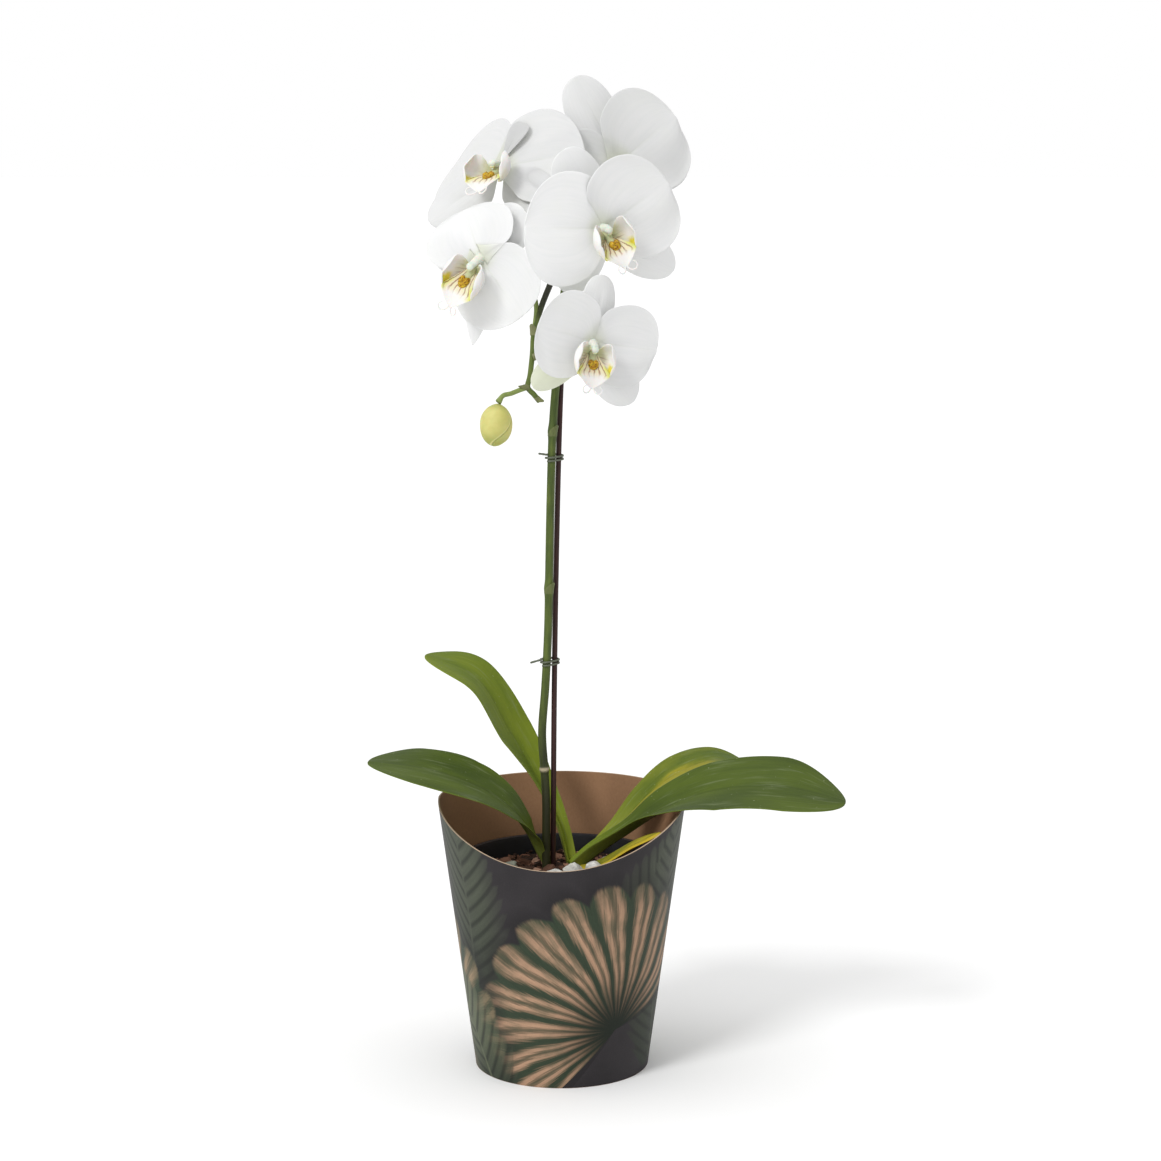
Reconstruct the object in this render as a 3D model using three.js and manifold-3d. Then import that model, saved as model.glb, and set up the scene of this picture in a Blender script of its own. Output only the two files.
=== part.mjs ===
// A white moth orchid in its nursery pot, standing in a printed board cover.
// Millimetres, +Z up. The origin is the centre of the cover's underside, where it meets the table.
// The front, with the low side of the cover's rim, faces -Y.
import * as THREE from 'three';
import { mergeVertices } from 'three/addons/utils/BufferGeometryUtils.js';
import Module from 'manifold-3d';

const wasm = await Module();
wasm.setup();

// ---------------------------------------------------------------- driving dimensions

const GAP = 0.3; // between two pieces that touch

const COVER = {
  height: 161, // rim at the back and the sides
  frontDip: 26.5, // how much lower the rim is at the front
  dipTurn: 4, // degrees that the dip is turned towards the left
  baseRadius: 51.5,
  rimRadius: 73.3,
  board: 1,
  floor: 1.2,
  segments: 60,
};

const POT = {
  height: 123.5,
  baseRadius: 45,
  rimRadius: 59,
  wall: 1.1,
  lip: 2.2, // how far the rolled rim stands out
  lipHeight: 3.5,
  drain: 6, // radius of the hole in the middle of the floor
  drains: 5, // round holes about it
  drainsRadius: 29,
  segments: 32,
};

const BARK = { level: 112, mound: 4.5, chips: 18, rings: 3, segments: 20 };

const CROWN = { x: 4, y: 5, foot: 96, top: 123, radius: 6.2 };

const STEM = { foot: 92, radius: 2.4, tipRadius: 1.5 };

const STAKE = { radius: 1.6, foot: 24 };

const WIRE = { radius: 0.6, turns: 2, pitch: 1.9 };

const PETAL = {
  length: 49,
  width: 63,
  rise: 0.62, // exponents of the outline: how fast it widens and how blunt its tip is
  blunt: 0.42,
  sweep: 0.24, // how far the shoulders reach back beside the claw
  tilt: 8,
  bend: -0.06,
  cup: 0.1,
  lift: 1.2,
};

const SEPAL = {
  length: 46,
  width: 29,
  rise: 0.55,
  blunt: 0.48,
  sweep: 0,
  tilt: 2,
  bend: -0.08,
  cup: -0.16,
  lift: -1.0,
};

const DORSAL = { ...SEPAL, length: 47, width: 30, rise: 0.62, blunt: 0.46, bend: -0.1 };

const BLADE = 0.9; // thickness of petals and sepals

// Five open blooms, in the order in which they leave the spike. turn, nod and roll are degrees:
// turn to the viewer's right, nod upwards, roll anticlockwise as seen from the front.
const BLOOMS = [
  {
    at: [33.5, 4, 533],
    turn: 15,
    nod: 4,
    roll: 38,
    scale: 1,
    dorsal: { angle: 10.5, length: 54.5, width: 30 },
    sepalRight: { angle: 134, length: 42 },
    sepalLeft: { angle: -139 },
    petalRight: { angle: 88, length: 41.5, width: 64, tilt: 12, fold: 8 },
    petalLeft: { angle: -82, width: 62, tilt: -8 },
  },
  {
    at: [-33.7, -12, 530],
    turn: -24,
    nod: 33,
    roll: 8,
    scale: 1.07,
    dorsal: { angle: -8, length: 43, width: 28, tilt: -17 },
    sepalRight: { angle: 133, length: 46, width: 28, tilt: 3 },
    sepalLeft: { angle: -125, length: 48, width: 29, tilt: 3 },
    petalRight: { angle: 78, length: 45, width: 61, tilt: -9 },
    petalLeft: { angle: -61, length: 50, width: 60, tilt: -26 },
  },
  {
    at: [23, -52, 497.5],
    turn: 24,
    nod: -7,
    roll: 20,
    scale: 1,
    dorsal: { angle: -9, length: 49, width: 30 },
    sepalRight: { angle: 138, length: 53, width: 27, tilt: 4 },
    sepalLeft: { angle: -131, length: 41, width: 28 },
    petalRight: { angle: 69, length: 45, width: 65, tilt: 20, fold: 5 },
    petalLeft: { angle: -68, length: 50, width: 64, tilt: 9 },
  },
  {
    at: [-44.5, -42, 481],
    turn: -32,
    nod: -9,
    roll: -55,
    scale: 0.94,
    dorsal: { angle: -7, length: 41, width: 29, tilt: 0 },
    sepalRight: { angle: 140, length: 57, width: 20 },
    sepalLeft: { angle: -145, length: 38, width: 26 },
    petalRight: { angle: 92, length: 43, width: 66, tilt: -2 },
    petalLeft: { angle: -76, length: 30, width: 69, tilt: -6 },
  },
  {
    at: [16, -66, 435.4],
    turn: 26,
    nod: -7,
    roll: -9,
    scale: 0.84,
    dorsal: { angle: 3, length: 44, width: 25, tilt: -3 },
    sepalRight: { angle: 133, length: 54, width: 33, tilt: 4 },
    sepalLeft: { angle: -135, length: 50, width: 24 },
    petalRight: { angle: 88, length: 45, width: 56, tilt: 13, fold: 4 },
    petalLeft: { angle: -81, length: 46, width: 59, tilt: 9 },
  },
];

// The spike: up from the bark, over an arch, and down towards the viewer to the bud.
const SPIKE = [
  [-9.4, 0, STEM.foot],
  [-9.2, 0, 136],
  [-9.2, 0, 160],
  [-10.2, 0, 178.6],
  [-11.5, 0, 200],
  [-9.6, 0, 228],
  [-8, 0.6, 260],
  [-7.2, 2, 300],
  [-6.4, 4.5, 340],
  [-5, 6.2, 382],
  [-2.4, 8, 415],
  [1, 9, 452],
  [3.6, 6, 478],
  [4.5, -4, 493],
  [4, -16, 497],
  [2.5, -28, 491],
  [-0.5, -37, 478],
  [-6, -43, 465.5],
  [-11, -45, 452.8],
  [-14.9, -46, 438.9],
  [-15.8, -47, 427],
  [-17.2, -48, 415],
  [-18.4, -48, 408.6],
  [-15, -48, 404.6],
  [-11.6, -48, 400.4],
];
const SPIKE_NODES = [178.6, 286, 382]; // heights of the sheathed joints on the stem

const STALK = { radius: 1.35, swell: 0.35 }; // a flower stalk is thickest behind its bloom

// Where each flower stalk leaves the spike and what it passes through on its way to the bloom.
const STALKS = [
  [[3.6, 6, 478], [14, 14, 500], [24, 20, 522]],
  [[4.5, -10, 496.5], [-6, -8, 504], [-18, -4, 513]],
  [[3.2, -24, 494], [8, -34, 498]],
  [[-14.9, -46, 438.9], [-14, -43.5, 456], [-22, -36, 470], [-32, -30, 478]],
  [[-15.8, -47, 427], [-6, -46, 431], [3, -50, 434]],
];

const BUD = {
  top: [-34.9, -58, 400.4],
  tip: [-37.3, -58, 376.4],
  radius: 9.1,
  profile: [[0, 0], [0.22, 0.02], [0.62, 0.12], [0.92, 0.3], [1, 0.48], [0.93, 0.68], [0.66, 0.86],
    [0.3, 0.97], [0, 1]], // shares of the radius and of the length
};
const BUD_STALK = [
  [-18.4, -48, 408.6],
  [-22.8, -50, 407.3],
  [-27.8, -53, 405.6],
  [-32.2, -56, 404.6],
  [-34.8, -57.9, 401.2],
];

const STAKE_LINE = [
  [-6.2, 4.4, STAKE.foot],
  [-5.2, 4.2, 130],
  [-4.4, 3.8, 220],
  [-3.3, 6, 290],
  [-1.2, 10, 378],
  [0.9, 13.4, 432],
];

// Leaves: spine points, half widths along them, and the turn of the blade about its spine in
// degrees, with the near edge lower where it is positive.
const LEAVES = [
  {
    spine: [[-4.5, -4, 119], [-13, -12.5, 138], [-25, -14, 155], [-46, -16, 171], [-78, -18, 182],
      [-113, -20, 187]],
    widths: [8, 11, 15, 23, 25, 19],
    turn: [40, 30, 20, 16, 14, 10],
    channel: [0.9, 0.6, 0.3, 0.15, 0.1, 0.05],
  },
  {
    spine: [[3, 16, 122], [-1, 22.5, 143], [-12, 27, 164], [-30, 31, 193], [-52, 33, 227],
      [-82, 33, 243]],
    widths: [9, 11, 14, 19, 19, 13],
    turn: [0, 10, 15, 20, 20, 15],
    channel: [0.6, 0.5, 0.4, 0.3, 0.2, 0.1],
  },
  {
    spine: [[14, 3, 121], [33, -3, 137], [57, -8, 154.6], [90, -12, 168], [130, -16, 171],
      [166, -20, 163]],
    widths: [8, 13, 20, 27, 29, 23],
    turn: [12, 14, 15, 19, 20, 14],
    channel: [0.9, 0.6, 0.3, 0.15, 0.1, 0.05],
  },
  {
    spine: [[14.5, 12.5, 121], [34, 23, 138], [53, 32, 156], [73, 39, 169], [92, 44, 174],
      [110, 47, 172]],
    widths: [7, 10, 14, 18, 17, 11],
    turn: [10, 10, 8, 12, 12, 8],
    channel: [0.9, 0.6, 0.3, 0.2, 0.1, 0.05],
  },
  {
    spine: [[7, -1.3, 118.8], [14.5, -10, 121.6], [25, -19, 127], [40, -27.5, 136], [60, -33, 145.5]],
    widths: [3, 5, 6, 7, 4],
    turn: [20, 30, 30, 30, 30],
    channel: [0.6, 0.5, 0.5, 0.4, 0.2],
  },
];
const LEAF = { thickness: 2.2, edge: 0.45, tip: 0.16, rows: 12, columns: 6 };

const STONES = [
  { at: [-5, -23], size: [11, 8, 6], turn: 10 },
  { at: [7, -21], size: [12, 9, 8], turn: -20 },
  { at: [19, -19], size: [10, 8, 6], turn: 35 },
  { at: [-22, -17], size: [8, 7, 5], turn: 60 },
  { at: [27, 22], size: [10, 8, 6], turn: 15 },
  { at: [-30, 14], size: [11, 8, 6], turn: 80 },
];

const PAINT = {
  board: { color: 0x8f7d63, roughness: 0.85, metalness: 0 },
  pot: { color: 0x151515, roughness: 0.45, metalness: 0 },
  bark: { color: 0x7a5138, roughness: 0.95, metalness: 0 },
  stone: { color: 0xc9c8c2, roughness: 0.8, metalness: 0 },
  leaf: { color: 0x3d6b2c, roughness: 0.4, metalness: 0 },
  paleLeaf: { color: 0x93a452, roughness: 0.5, metalness: 0 },
  stem: { color: 0x4f6a35, roughness: 0.55, metalness: 0 },
  bud: { color: 0x9aa83f, roughness: 0.5, metalness: 0 },
  petal: { color: 0xf3f0ee, roughness: 0.6, metalness: 0 },
  lip: { color: 0xe9c64a, roughness: 0.55, metalness: 0 },
  stake: { color: 0x4a2a22, roughness: 0.7, metalness: 0 },
  wire: { color: 0x6f7a62, roughness: 0.5, metalness: 0.3 },
};

// ---------------------------------------------------------------- numbers and vectors

const UP = new THREE.Vector3(0, 0, 1);
const vec = (p) => new THREE.Vector3(...p);
const rad = THREE.MathUtils.degToRad;
const lerp = THREE.MathUtils.lerp;
const smooth = THREE.MathUtils.smoothstep;

// The same draws each time, from 0 to 1.
function seededDraws(seed) {
  let state = seed;
  return () => {
    state = (state * 1664525 + 1013904223) % 4294967296;
    return state / 4294967296;
  };
}

// A value that runs evenly through a list as t goes from 0 to 1.
function through(list, t) {
  const place = t * (list.length - 1);
  const i = Math.min(Math.floor(place), list.length - 2);
  return lerp(list[i], list[i + 1], place - i);
}

// ---------------------------------------------------------------- solids

function indexed(points, triangles) {
  const geometry = new THREE.BufferGeometry();
  const coordinates = points.flatMap((p) => p.toArray());
  geometry.setAttribute('position', new THREE.Float32BufferAttribute(coordinates, 3));
  geometry.setIndex(triangles);
  return geometry;
}

function solid(geometry) {
  const bare = geometry.clone();
  bare.deleteAttribute('normal');
  bare.deleteAttribute('uv');
  const merged = mergeVertices(bare);
  return new wasm.Manifold(new wasm.Mesh({
    numProp: 3,
    vertProperties: new Float32Array(merged.attributes.position.array),
    triVerts: new Uint32Array(merged.index.array),
  }));
}

function fuse(geometries) {
  return geometries.map(solid).reduce((whole, next) => whole.add(next));
}

function geometryOf(body) {
  const { vertProperties, triVerts } = body.getMesh();
  const geometry = new THREE.BufferGeometry();
  geometry.setAttribute('position', new THREE.BufferAttribute(new Float32Array(vertProperties), 3));
  geometry.setIndex(new THREE.BufferAttribute(new Uint32Array(triVerts), 1));
  return geometry;
}

// A closed sheet between a front and a back grid of points, split alike on both faces. Rows run
// along the blade and columns across it.
function sheet(front, back) {
  const rows = front.length;
  const columns = front[0].length;
  const end = columns - 1;
  const at = (side, i, j) => (side * rows + i) * columns + j;
  const triangles = [];
  const quad = (a, b, c, d) => triangles.push(a, b, c, a, c, d);
  for (let i = 0; i < rows - 1; i += 1) {
    for (let j = 0; j < columns - 1; j += 1) {
      quad(at(0, i, j), at(0, i + 1, j), at(0, i + 1, j + 1), at(0, i, j + 1));
      triangles.push(at(1, i, j), at(1, i + 1, j + 1), at(1, i + 1, j));
      triangles.push(at(1, i, j), at(1, i, j + 1), at(1, i + 1, j + 1));
    }
    quad(at(0, i, 0), at(1, i, 0), at(1, i + 1, 0), at(0, i + 1, 0));
    quad(at(0, i + 1, end), at(1, i + 1, end), at(1, i, end), at(0, i, end));
  }
  for (let j = 0; j < columns - 1; j += 1) {
    quad(at(0, 0, j + 1), at(1, 0, j + 1), at(1, 0, j), at(0, 0, j));
    quad(at(0, rows - 1, j), at(1, rows - 1, j), at(1, rows - 1, j + 1), at(0, rows - 1, j + 1));
  }
  return indexed([...front.flat(), ...back.flat()], triangles);
}

// A closed round tube along a smooth curve through the points, with its radius from a function of
// the way along it. Its rings stand closer where the points do.
function tube(points, radiusAt, segments, sides) {
  const curve = new THREE.CatmullRomCurve3(points.map(vec), false, 'centripetal');
  const turn = new THREE.Quaternion();
  const ring = [];
  let along = curve.getTangent(0);
  const side = new THREE.Vector3(-along.z, along.x, along.y).cross(along).normalize();
  for (let i = 0; i <= segments; i += 1) {
    const t = i / segments;
    const centre = curve.getPoint(t);
    const next = curve.getTangent(t);
    side.applyQuaternion(turn.setFromUnitVectors(along, next));
    along = next;
    const other = new THREE.Vector3().crossVectors(along, side);
    for (let k = 0; k < sides; k += 1) {
      const angle = (2 * Math.PI * k) / sides;
      ring.push(centre.clone()
        .addScaledVector(side, radiusAt(t) * Math.cos(angle))
        .addScaledVector(other, radiusAt(t) * Math.sin(angle)));
    }
  }
  const triangles = [];
  for (let i = 0; i < segments; i += 1) {
    for (let k = 0; k < sides; k += 1) {
      const a = i * sides + k;
      const b = i * sides + ((k + 1) % sides);
      triangles.push(a, b, b + sides, a, b + sides, a + sides);
    }
  }
  const last = segments * sides;
  for (let k = 1; k < sides - 1; k += 1) {
    triangles.push(0, k + 1, k, last, last + k, last + k + 1);
  }
  return indexed(ring, triangles);
}

// A closed ring about the Z axis. section(angle) gives points [radius, height] anticlockwise, with
// the radius to the right; angle 0 is +X.
function ringOf(section, segments) {
  const loops = [];
  for (let k = 0; k < segments; k += 1) {
    const angle = (2 * Math.PI * k) / segments;
    loops.push(section(angle).map(([r, z]) => vec([r * Math.cos(angle), r * Math.sin(angle), z])));
  }
  const count = loops[0].length;
  const triangles = [];
  for (let k = 0; k < segments; k += 1) {
    for (let m = 0; m < count; m += 1) {
      const a = k * count + m;
      const b = k * count + ((m + 1) % count);
      const next = ((k + 1) % segments) * count;
      triangles.push(a, next + m, next + ((m + 1) % count), a, next + ((m + 1) % count), b);
    }
  }
  return indexed(loops.flat(), triangles);
}

// A round solid about the Z axis from a profile of [radius, height] that starts and ends on it.
function turned(profile, segments) {
  const geometry = new THREE.LatheGeometry(profile.map(([r, z]) => new THREE.Vector2(r, z)), segments);
  return geometry.rotateX(Math.PI / 2);
}

// ---------------------------------------------------------------- cover and nursery pot

const coverRadius = (z) => lerp(COVER.baseRadius, COVER.rimRadius, z / COVER.height);

function rimHeight(angle) {
  const fromFront = angle + Math.PI / 2 + rad(COVER.dipTurn);
  const turn = Math.abs(Math.atan2(Math.sin(fromFront), Math.cos(fromFront)));
  if (turn >= Math.PI / 2) return COVER.height;
  const climb = (1 - Math.cos(turn) + Math.sin(turn) ** 2) / 2;
  return COVER.height - COVER.frontDip * (1 - climb);
}

function coverWall() {
  return ringOf((angle) => {
    const top = rimHeight(angle);
    return [
      [coverRadius(0), 0],
      [coverRadius(top), top],
      [coverRadius(top) - COVER.board, top],
      [coverRadius(0) - COVER.board, 0],
    ];
  }, COVER.segments);
}

function coverBase() {
  const inside = (z) => coverRadius(z) - COVER.board - GAP;
  const disc = [[0, 0], [inside(0), 0], [inside(COVER.floor), COVER.floor], [0, COVER.floor]];
  return geometryOf(solid(turned(disc, COVER.segments)));
}

const POT_FOOT = COVER.floor + GAP;
const potRadius = (z) => lerp(POT.baseRadius, POT.rimRadius, (z - POT_FOOT) / POT.height);

function nurseryPot() {
  const top = POT_FOOT + POT.height;
  const floor = POT_FOOT + POT.wall;
  const lipFoot = top - POT.lipHeight;
  const section = [
    [POT.drain, POT_FOOT],
    [POT.baseRadius, POT_FOOT],
    [potRadius(lipFoot), lipFoot],
    [potRadius(lipFoot) + POT.lip, lipFoot],
    [POT.rimRadius + POT.lip, top],
    [POT.rimRadius - POT.wall, top],
    [potRadius(floor) - POT.wall, floor],
    [POT.drain, floor],
  ];
  let body = solid(ringOf(() => section, POT.segments));
  for (let k = 0; k < POT.drains; k += 1) {
    const angle = (2 * Math.PI * k) / POT.drains;
    const hole = new THREE.CylinderGeometry(POT.drain * 0.7, POT.drain * 0.7, 6 * POT.wall, 10)
      .rotateX(Math.PI / 2)
      .translate(POT.drainsRadius * Math.cos(angle), POT.drainsRadius * Math.sin(angle), floor);
    body = body.subtract(solid(hole));
  }
  return geometryOf(body);
}

// ---------------------------------------------------------------- what stands in the bark

function crownAndRoots(grow) {
  const trunk = [
    [CROWN.x, CROWN.y, CROWN.foot],
    [CROWN.x, CROWN.y, lerp(CROWN.foot, CROWN.top, 0.6)],
    [CROWN.x + 0.6, CROWN.y, CROWN.top],
  ];
  const pieces = [tube(trunk, (t) => CROWN.radius * (1 - 0.25 * t) + grow, 3, 9)];
  for (let k = 0; k < 4; k += 1) {
    const angle = rad(35 + 90 * k);
    const out = [Math.cos(angle), Math.sin(angle)];
    const root = [[2, 4], [12, -6], [24, -20], [32, -44], [30, -70]].map(([reach, drop]) => [
      CROWN.x + reach * out[0],
      CROWN.y + reach * out[1],
      CROWN.foot + drop,
    ]);
    pieces.push(tube(root, (t) => 2.6 - 0.9 * t + grow, 5, 5));
  }
  return fuse(pieces);
}

const stemRadius = (t) => lerp(STEM.radius, STEM.tipRadius, smooth(t, 0.5, 1));

const stake = (grow) => tube(STAKE_LINE, () => STAKE.radius + grow, 8, 7);

// ---------------------------------------------------------------- bark and stones

const barkRadius = (z) => potRadius(z) - POT.wall - GAP;

function barkHeight(x, y) {
  const radius = Math.hypot(x, y);
  const ripple = 1.4 * Math.sin(0.31 * x + 1.3) * Math.cos(0.27 * y) + 0.9 * Math.sin(0.17 * (x + 2 * y));
  return BARK.level + BARK.mound * (1 - (radius / POT.rimRadius) ** 2) + ripple;
}

function barkPlug() {
  const points = [];
  const floor = POT_FOOT + POT.wall + GAP;
  const ring = (radius, height) => {
    for (let k = 0; k < BARK.segments; k += 1) {
      const angle = (2 * Math.PI * k) / BARK.segments;
      const x = radius * Math.cos(angle);
      const y = radius * Math.sin(angle);
      points.push(vec([x, y, height(x, y)]));
    }
  };
  for (let i = 1; i <= BARK.rings; i += 1) {
    ring((barkRadius(BARK.level - 3) * i) / BARK.rings, barkHeight);
  }
  ring(barkRadius(floor), () => floor);
  const rings = BARK.rings + 1;
  const topMiddle = points.push(vec([0, 0, barkHeight(0, 0)])) - 1;
  const footMiddle = points.push(vec([0, 0, floor])) - 1;
  const triangles = [];
  for (let k = 0; k < BARK.segments; k += 1) {
    const next = (k + 1) % BARK.segments;
    triangles.push(topMiddle, k, next);
    for (let i = 0; i < rings - 1; i += 1) {
      const a = i * BARK.segments;
      const b = a + BARK.segments;
      triangles.push(a + k, b + k, b + next, a + k, b + next, a + next);
    }
    const last = (rings - 1) * BARK.segments;
    triangles.push(footMiddle, last + next, last + k);
  }
  return indexed(points, triangles);
}

function barkChip(draw) {
  const angle = 2 * Math.PI * draw();
  const radius = 15 + 31 * Math.sqrt(draw());
  const x = radius * Math.cos(angle);
  const y = radius * Math.sin(angle);
  const chip = new THREE.BoxGeometry(9 + 8 * draw(), 6 + 5 * draw(), 3 + 2.5 * draw());
  chip.rotateX(rad(60 * (draw() - 0.5)));
  chip.rotateY(rad(60 * (draw() - 0.5)));
  chip.rotateZ(2 * Math.PI * draw());
  return chip.translate(x, y, barkHeight(x, y) + 0.6);
}

function stone({ at, size, turn }, grow) {
  const [x, y] = at;
  const [long, wide, high] = size;
  const ball = new THREE.IcosahedronGeometry(0.5, 1);
  ball.scale(long + 2 * grow, wide + 2 * grow, high + 2 * grow);
  ball.rotateZ(rad(turn));
  return ball.translate(x, y, barkHeight(x, y) + high * 0.42);
}

function bark(standing) {
  const draw = seededDraws(7);
  let body = solid(barkPlug());
  for (let k = 0; k < BARK.chips; k += 1) body = body.add(solid(barkChip(draw)));
  for (const hole of standing) body = body.subtract(hole);
  for (const each of STONES) body = body.subtract(solid(stone(each, GAP)));
  const largest = body.decompose().sort((a, b) => b.volume() - a.volume())[0];
  return geometryOf(largest);
}

// ---------------------------------------------------------------- leaves

// Points across a leaf at t from 0 at its base to 1 at its tip: the blade bends up on both sides
// of its channelled midrib and is thinnest at its edges.
function leafRow(leaf, curve, t) {
  const centre = curve.getPoint(t);
  const along = curve.getTangent(t);
  const across = new THREE.Vector3().crossVectors(along, UP).normalize();
  across.applyAxisAngle(along, -Math.sign(across.y) * rad(through(leaf.turn, t)));
  const normal = new THREE.Vector3().crossVectors(across, along).normalize();
  const widths = new THREE.CatmullRomCurve3(leaf.widths.map((w, i) => new THREE.Vector3(i, w, 0)));
  const end = Math.max(0, (t - 1 + LEAF.tip) / LEAF.tip);
  const half = Math.max(widths.getPoint(t).y * Math.sqrt(1 - end * end), 1.2);
  const channel = through(leaf.channel, t);
  const front = [];
  const back = [];
  for (let j = 0; j <= LEAF.columns; j += 1) {
    const q = (2 * j) / LEAF.columns - 1;
    const rise = channel * half * (Math.sqrt(q * q + 0.03) - 0.17);
    const thick = lerp(LEAF.thickness, 2 * LEAF.edge, Math.abs(q)) / 2;
    const middle = centre.clone().addScaledVector(across, q * half * Math.cos(channel * 0.8));
    middle.addScaledVector(normal, rise);
    front.push(middle.clone().addScaledVector(normal, thick));
    back.push(middle.clone().addScaledVector(normal, -thick));
  }
  return { front, back };
}

function leafBlade(leaf) {
  const curve = new THREE.CatmullRomCurve3(leaf.spine.map(vec), false, 'centripetal');
  const rows = [];
  for (let i = 0; i <= LEAF.rows; i += 1) {
    rows.push(leafRow(leaf, curve, Math.sin((Math.PI / 2) * (i / LEAF.rows))));
  }
  return sheet(rows.map((r) => r.back), rows.map((r) => r.front));
}

// ---------------------------------------------------------------- blooms

// The outline of a petal: 0 at both ends of s and 1 where it is widest.
function outline(s, rise, blunt) {
  const peak = rise / (rise + blunt);
  const level = peak ** rise * (1 - peak) ** blunt;
  const claw = 0.28 + 0.72 * smooth(s, 0, 0.32);
  return (claw * s ** rise * (1 - s) ** blunt) / level;
}

// A point of a petal in the bloom's own frame: X to its right, Y towards the top sepal and Z out
// of its face. s runs from root to tip and q from -1 to 1 across, with 1 on the clockwise edge.
function petalPoint(petal, s, q) {
  const half = (petal.width / 2) * outline(s, petal.rise, petal.blunt);
  const reach = petal.length * (s - petal.sweep * q * q * (1 - s));
  const lower = petal.angle < 0 ? -q : q;
  const fold = (petal.fold ?? 0) * smooth(lower, 0.2, 1) * smooth(s, 0.1, 0.8);
  const height = petal.lift + Math.max(reach, 0) * Math.sin(rad(petal.tilt))
    + petal.bend * petal.length * s * s + petal.cup * half * q * q - fold;
  const out = reach * Math.cos(rad(petal.tilt));
  const angle = rad(petal.angle);
  return new THREE.Vector3(
    out * Math.sin(angle) + q * half * Math.cos(angle),
    out * Math.cos(angle) - q * half * Math.sin(angle),
    height,
  );
}

function petalBlade(petal, rows, columns) {
  const front = [];
  const back = [];
  for (let i = 0; i <= rows; i += 1) {
    const s = lerp(0.04, 0.999, Math.sin((Math.PI / 2) * (i / rows)) ** 1.15);
    const line = [];
    for (let j = 0; j <= columns; j += 1) line.push(petalPoint(petal, s, 1 - (2 * j) / columns));
    front.push(line.map((p) => p.clone().setZ(p.z + BLADE / 2)));
    back.push(line.map((p) => p.clone().setZ(p.z - BLADE / 2)));
  }
  return sheet(front, back);
}

// The stubby column in the middle, with the knob behind it that the petals grow from.
const COLUMN = {
  line: [[0, 0, -6], [0, 0, -2], [0, 0.5, 2], [0, 2, 7], [0, 1.5, 12.5]],
  radii: [2.2, 5, 5, 3.4, 3.6, 1.6],
};

const column = (grow) => tube(COLUMN.line, (t) => through(COLUMN.radii, t) + grow, 5, 6);

function flower(bloom) {
  return fuse([
    column(0),
    petalBlade({ ...DORSAL, ...bloom.dorsal }, 4, 4),
    petalBlade({ ...SEPAL, ...bloom.sepalRight }, 4, 4),
    petalBlade({ ...SEPAL, ...bloom.sepalLeft }, 4, 4),
    petalBlade({ ...PETAL, ...bloom.petalRight }, 6, 6),
    petalBlade({ ...PETAL, ...bloom.petalLeft }, 6, 6),
  ]);
}

// The lip: a foot on the column, a pointed middle lobe with two curled tendrils, two lobes that
// stand up beside the column, and the callus between them.
const LIP = {
  middle: {
    spine: [[0, -6, 4], [0, -10.5, 11], [0, -16.5, 16], [0, -22.5, 18]],
    halves: [2.6, 3.8, 8.6, 1.6],
    across: [1, 0, 0],
    droop: -2.2,
  },
  side: {
    spine: [[2, -6.6, 6.4], [7.6, -9.4, 12], [11.4, -5.5, 16], [11, 1, 18]],
    halves: [2.6, 7, 8.6, 4.6],
    across: [-0.5, -0.2, 0.8],
    droop: 3,
  },
  foot: [[0, -8.6, 8], [0, -5, 5.6], [0, -1, 3.6]],
  tendril: [[0.6, -21.6, 18], [3.6, -25.4, 20], [7.4, -26, 18], [8.6, -22.6, 15.6]],
};

function lipLobe({ spine, halves, across, droop }, mirror, rows, columns) {
  const curve = new THREE.CatmullRomCurve3(spine.map(([x, y, z]) => new THREE.Vector3(x * mirror, y, z)));
  const side = vec(across);
  side.x *= mirror;
  side.normalize();
  const front = [];
  const back = [];
  for (let i = 0; i <= rows; i += 1) {
    const t = i / rows;
    const centre = curve.getPoint(t);
    const normal = new THREE.Vector3().crossVectors(curve.getTangent(t), side).normalize();
    const half = through(halves, t);
    const line = [];
    for (let j = 0; j <= columns; j += 1) {
      const q = (2 * j) / columns - 1;
      line.push(centre.clone().addScaledVector(side, q * half).addScaledVector(normal, droop * q * q * t));
    }
    front.push(line.map((p) => p.clone().addScaledVector(normal, BLADE / 2)));
    back.push(line.map((p) => p.clone().addScaledVector(normal, -BLADE / 2)));
  }
  return sheet(front, back);
}

function lip() {
  const callus = new THREE.OctahedronGeometry(1, 1).scale(2.6, 2.6, 2.4).translate(0, -6.8, 7.4);
  const pieces = [lipLobe(LIP.middle, 1, 4, 4), callus, tube(LIP.foot, () => 1.9, 2, 5)];
  for (const mirror of [1, -1]) {
    pieces.push(lipLobe(LIP.side, mirror, 4, 3));
    const curl = LIP.tendril.map(([x, y, z]) => [x * mirror, y, z]);
    pieces.push(tube(curl, (t) => 0.75 - 0.3 * t, 4, 3));
  }
  return fuse(pieces).subtract(solid(column(GAP)));
}

// Turns a bloom's own frame to where the flower hangs.
function bloomPlace({ at, turn, nod, roll, scale }) {
  const out = new THREE.Vector3(
    Math.sin(rad(turn)) * Math.cos(rad(nod)),
    -Math.cos(rad(turn)) * Math.cos(rad(nod)),
    Math.sin(rad(nod)),
  );
  const right = new THREE.Vector3(Math.cos(rad(turn)), Math.sin(rad(turn)), 0);
  right.applyAxisAngle(out, rad(roll));
  const top = new THREE.Vector3().crossVectors(out, right);
  const place = new THREE.Matrix4().makeBasis(right, top, out);
  return place.scale(new THREE.Vector3(scale, scale, scale)).setPosition(vec(at));
}

// ---------------------------------------------------------------- spike, bud and ties

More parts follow.
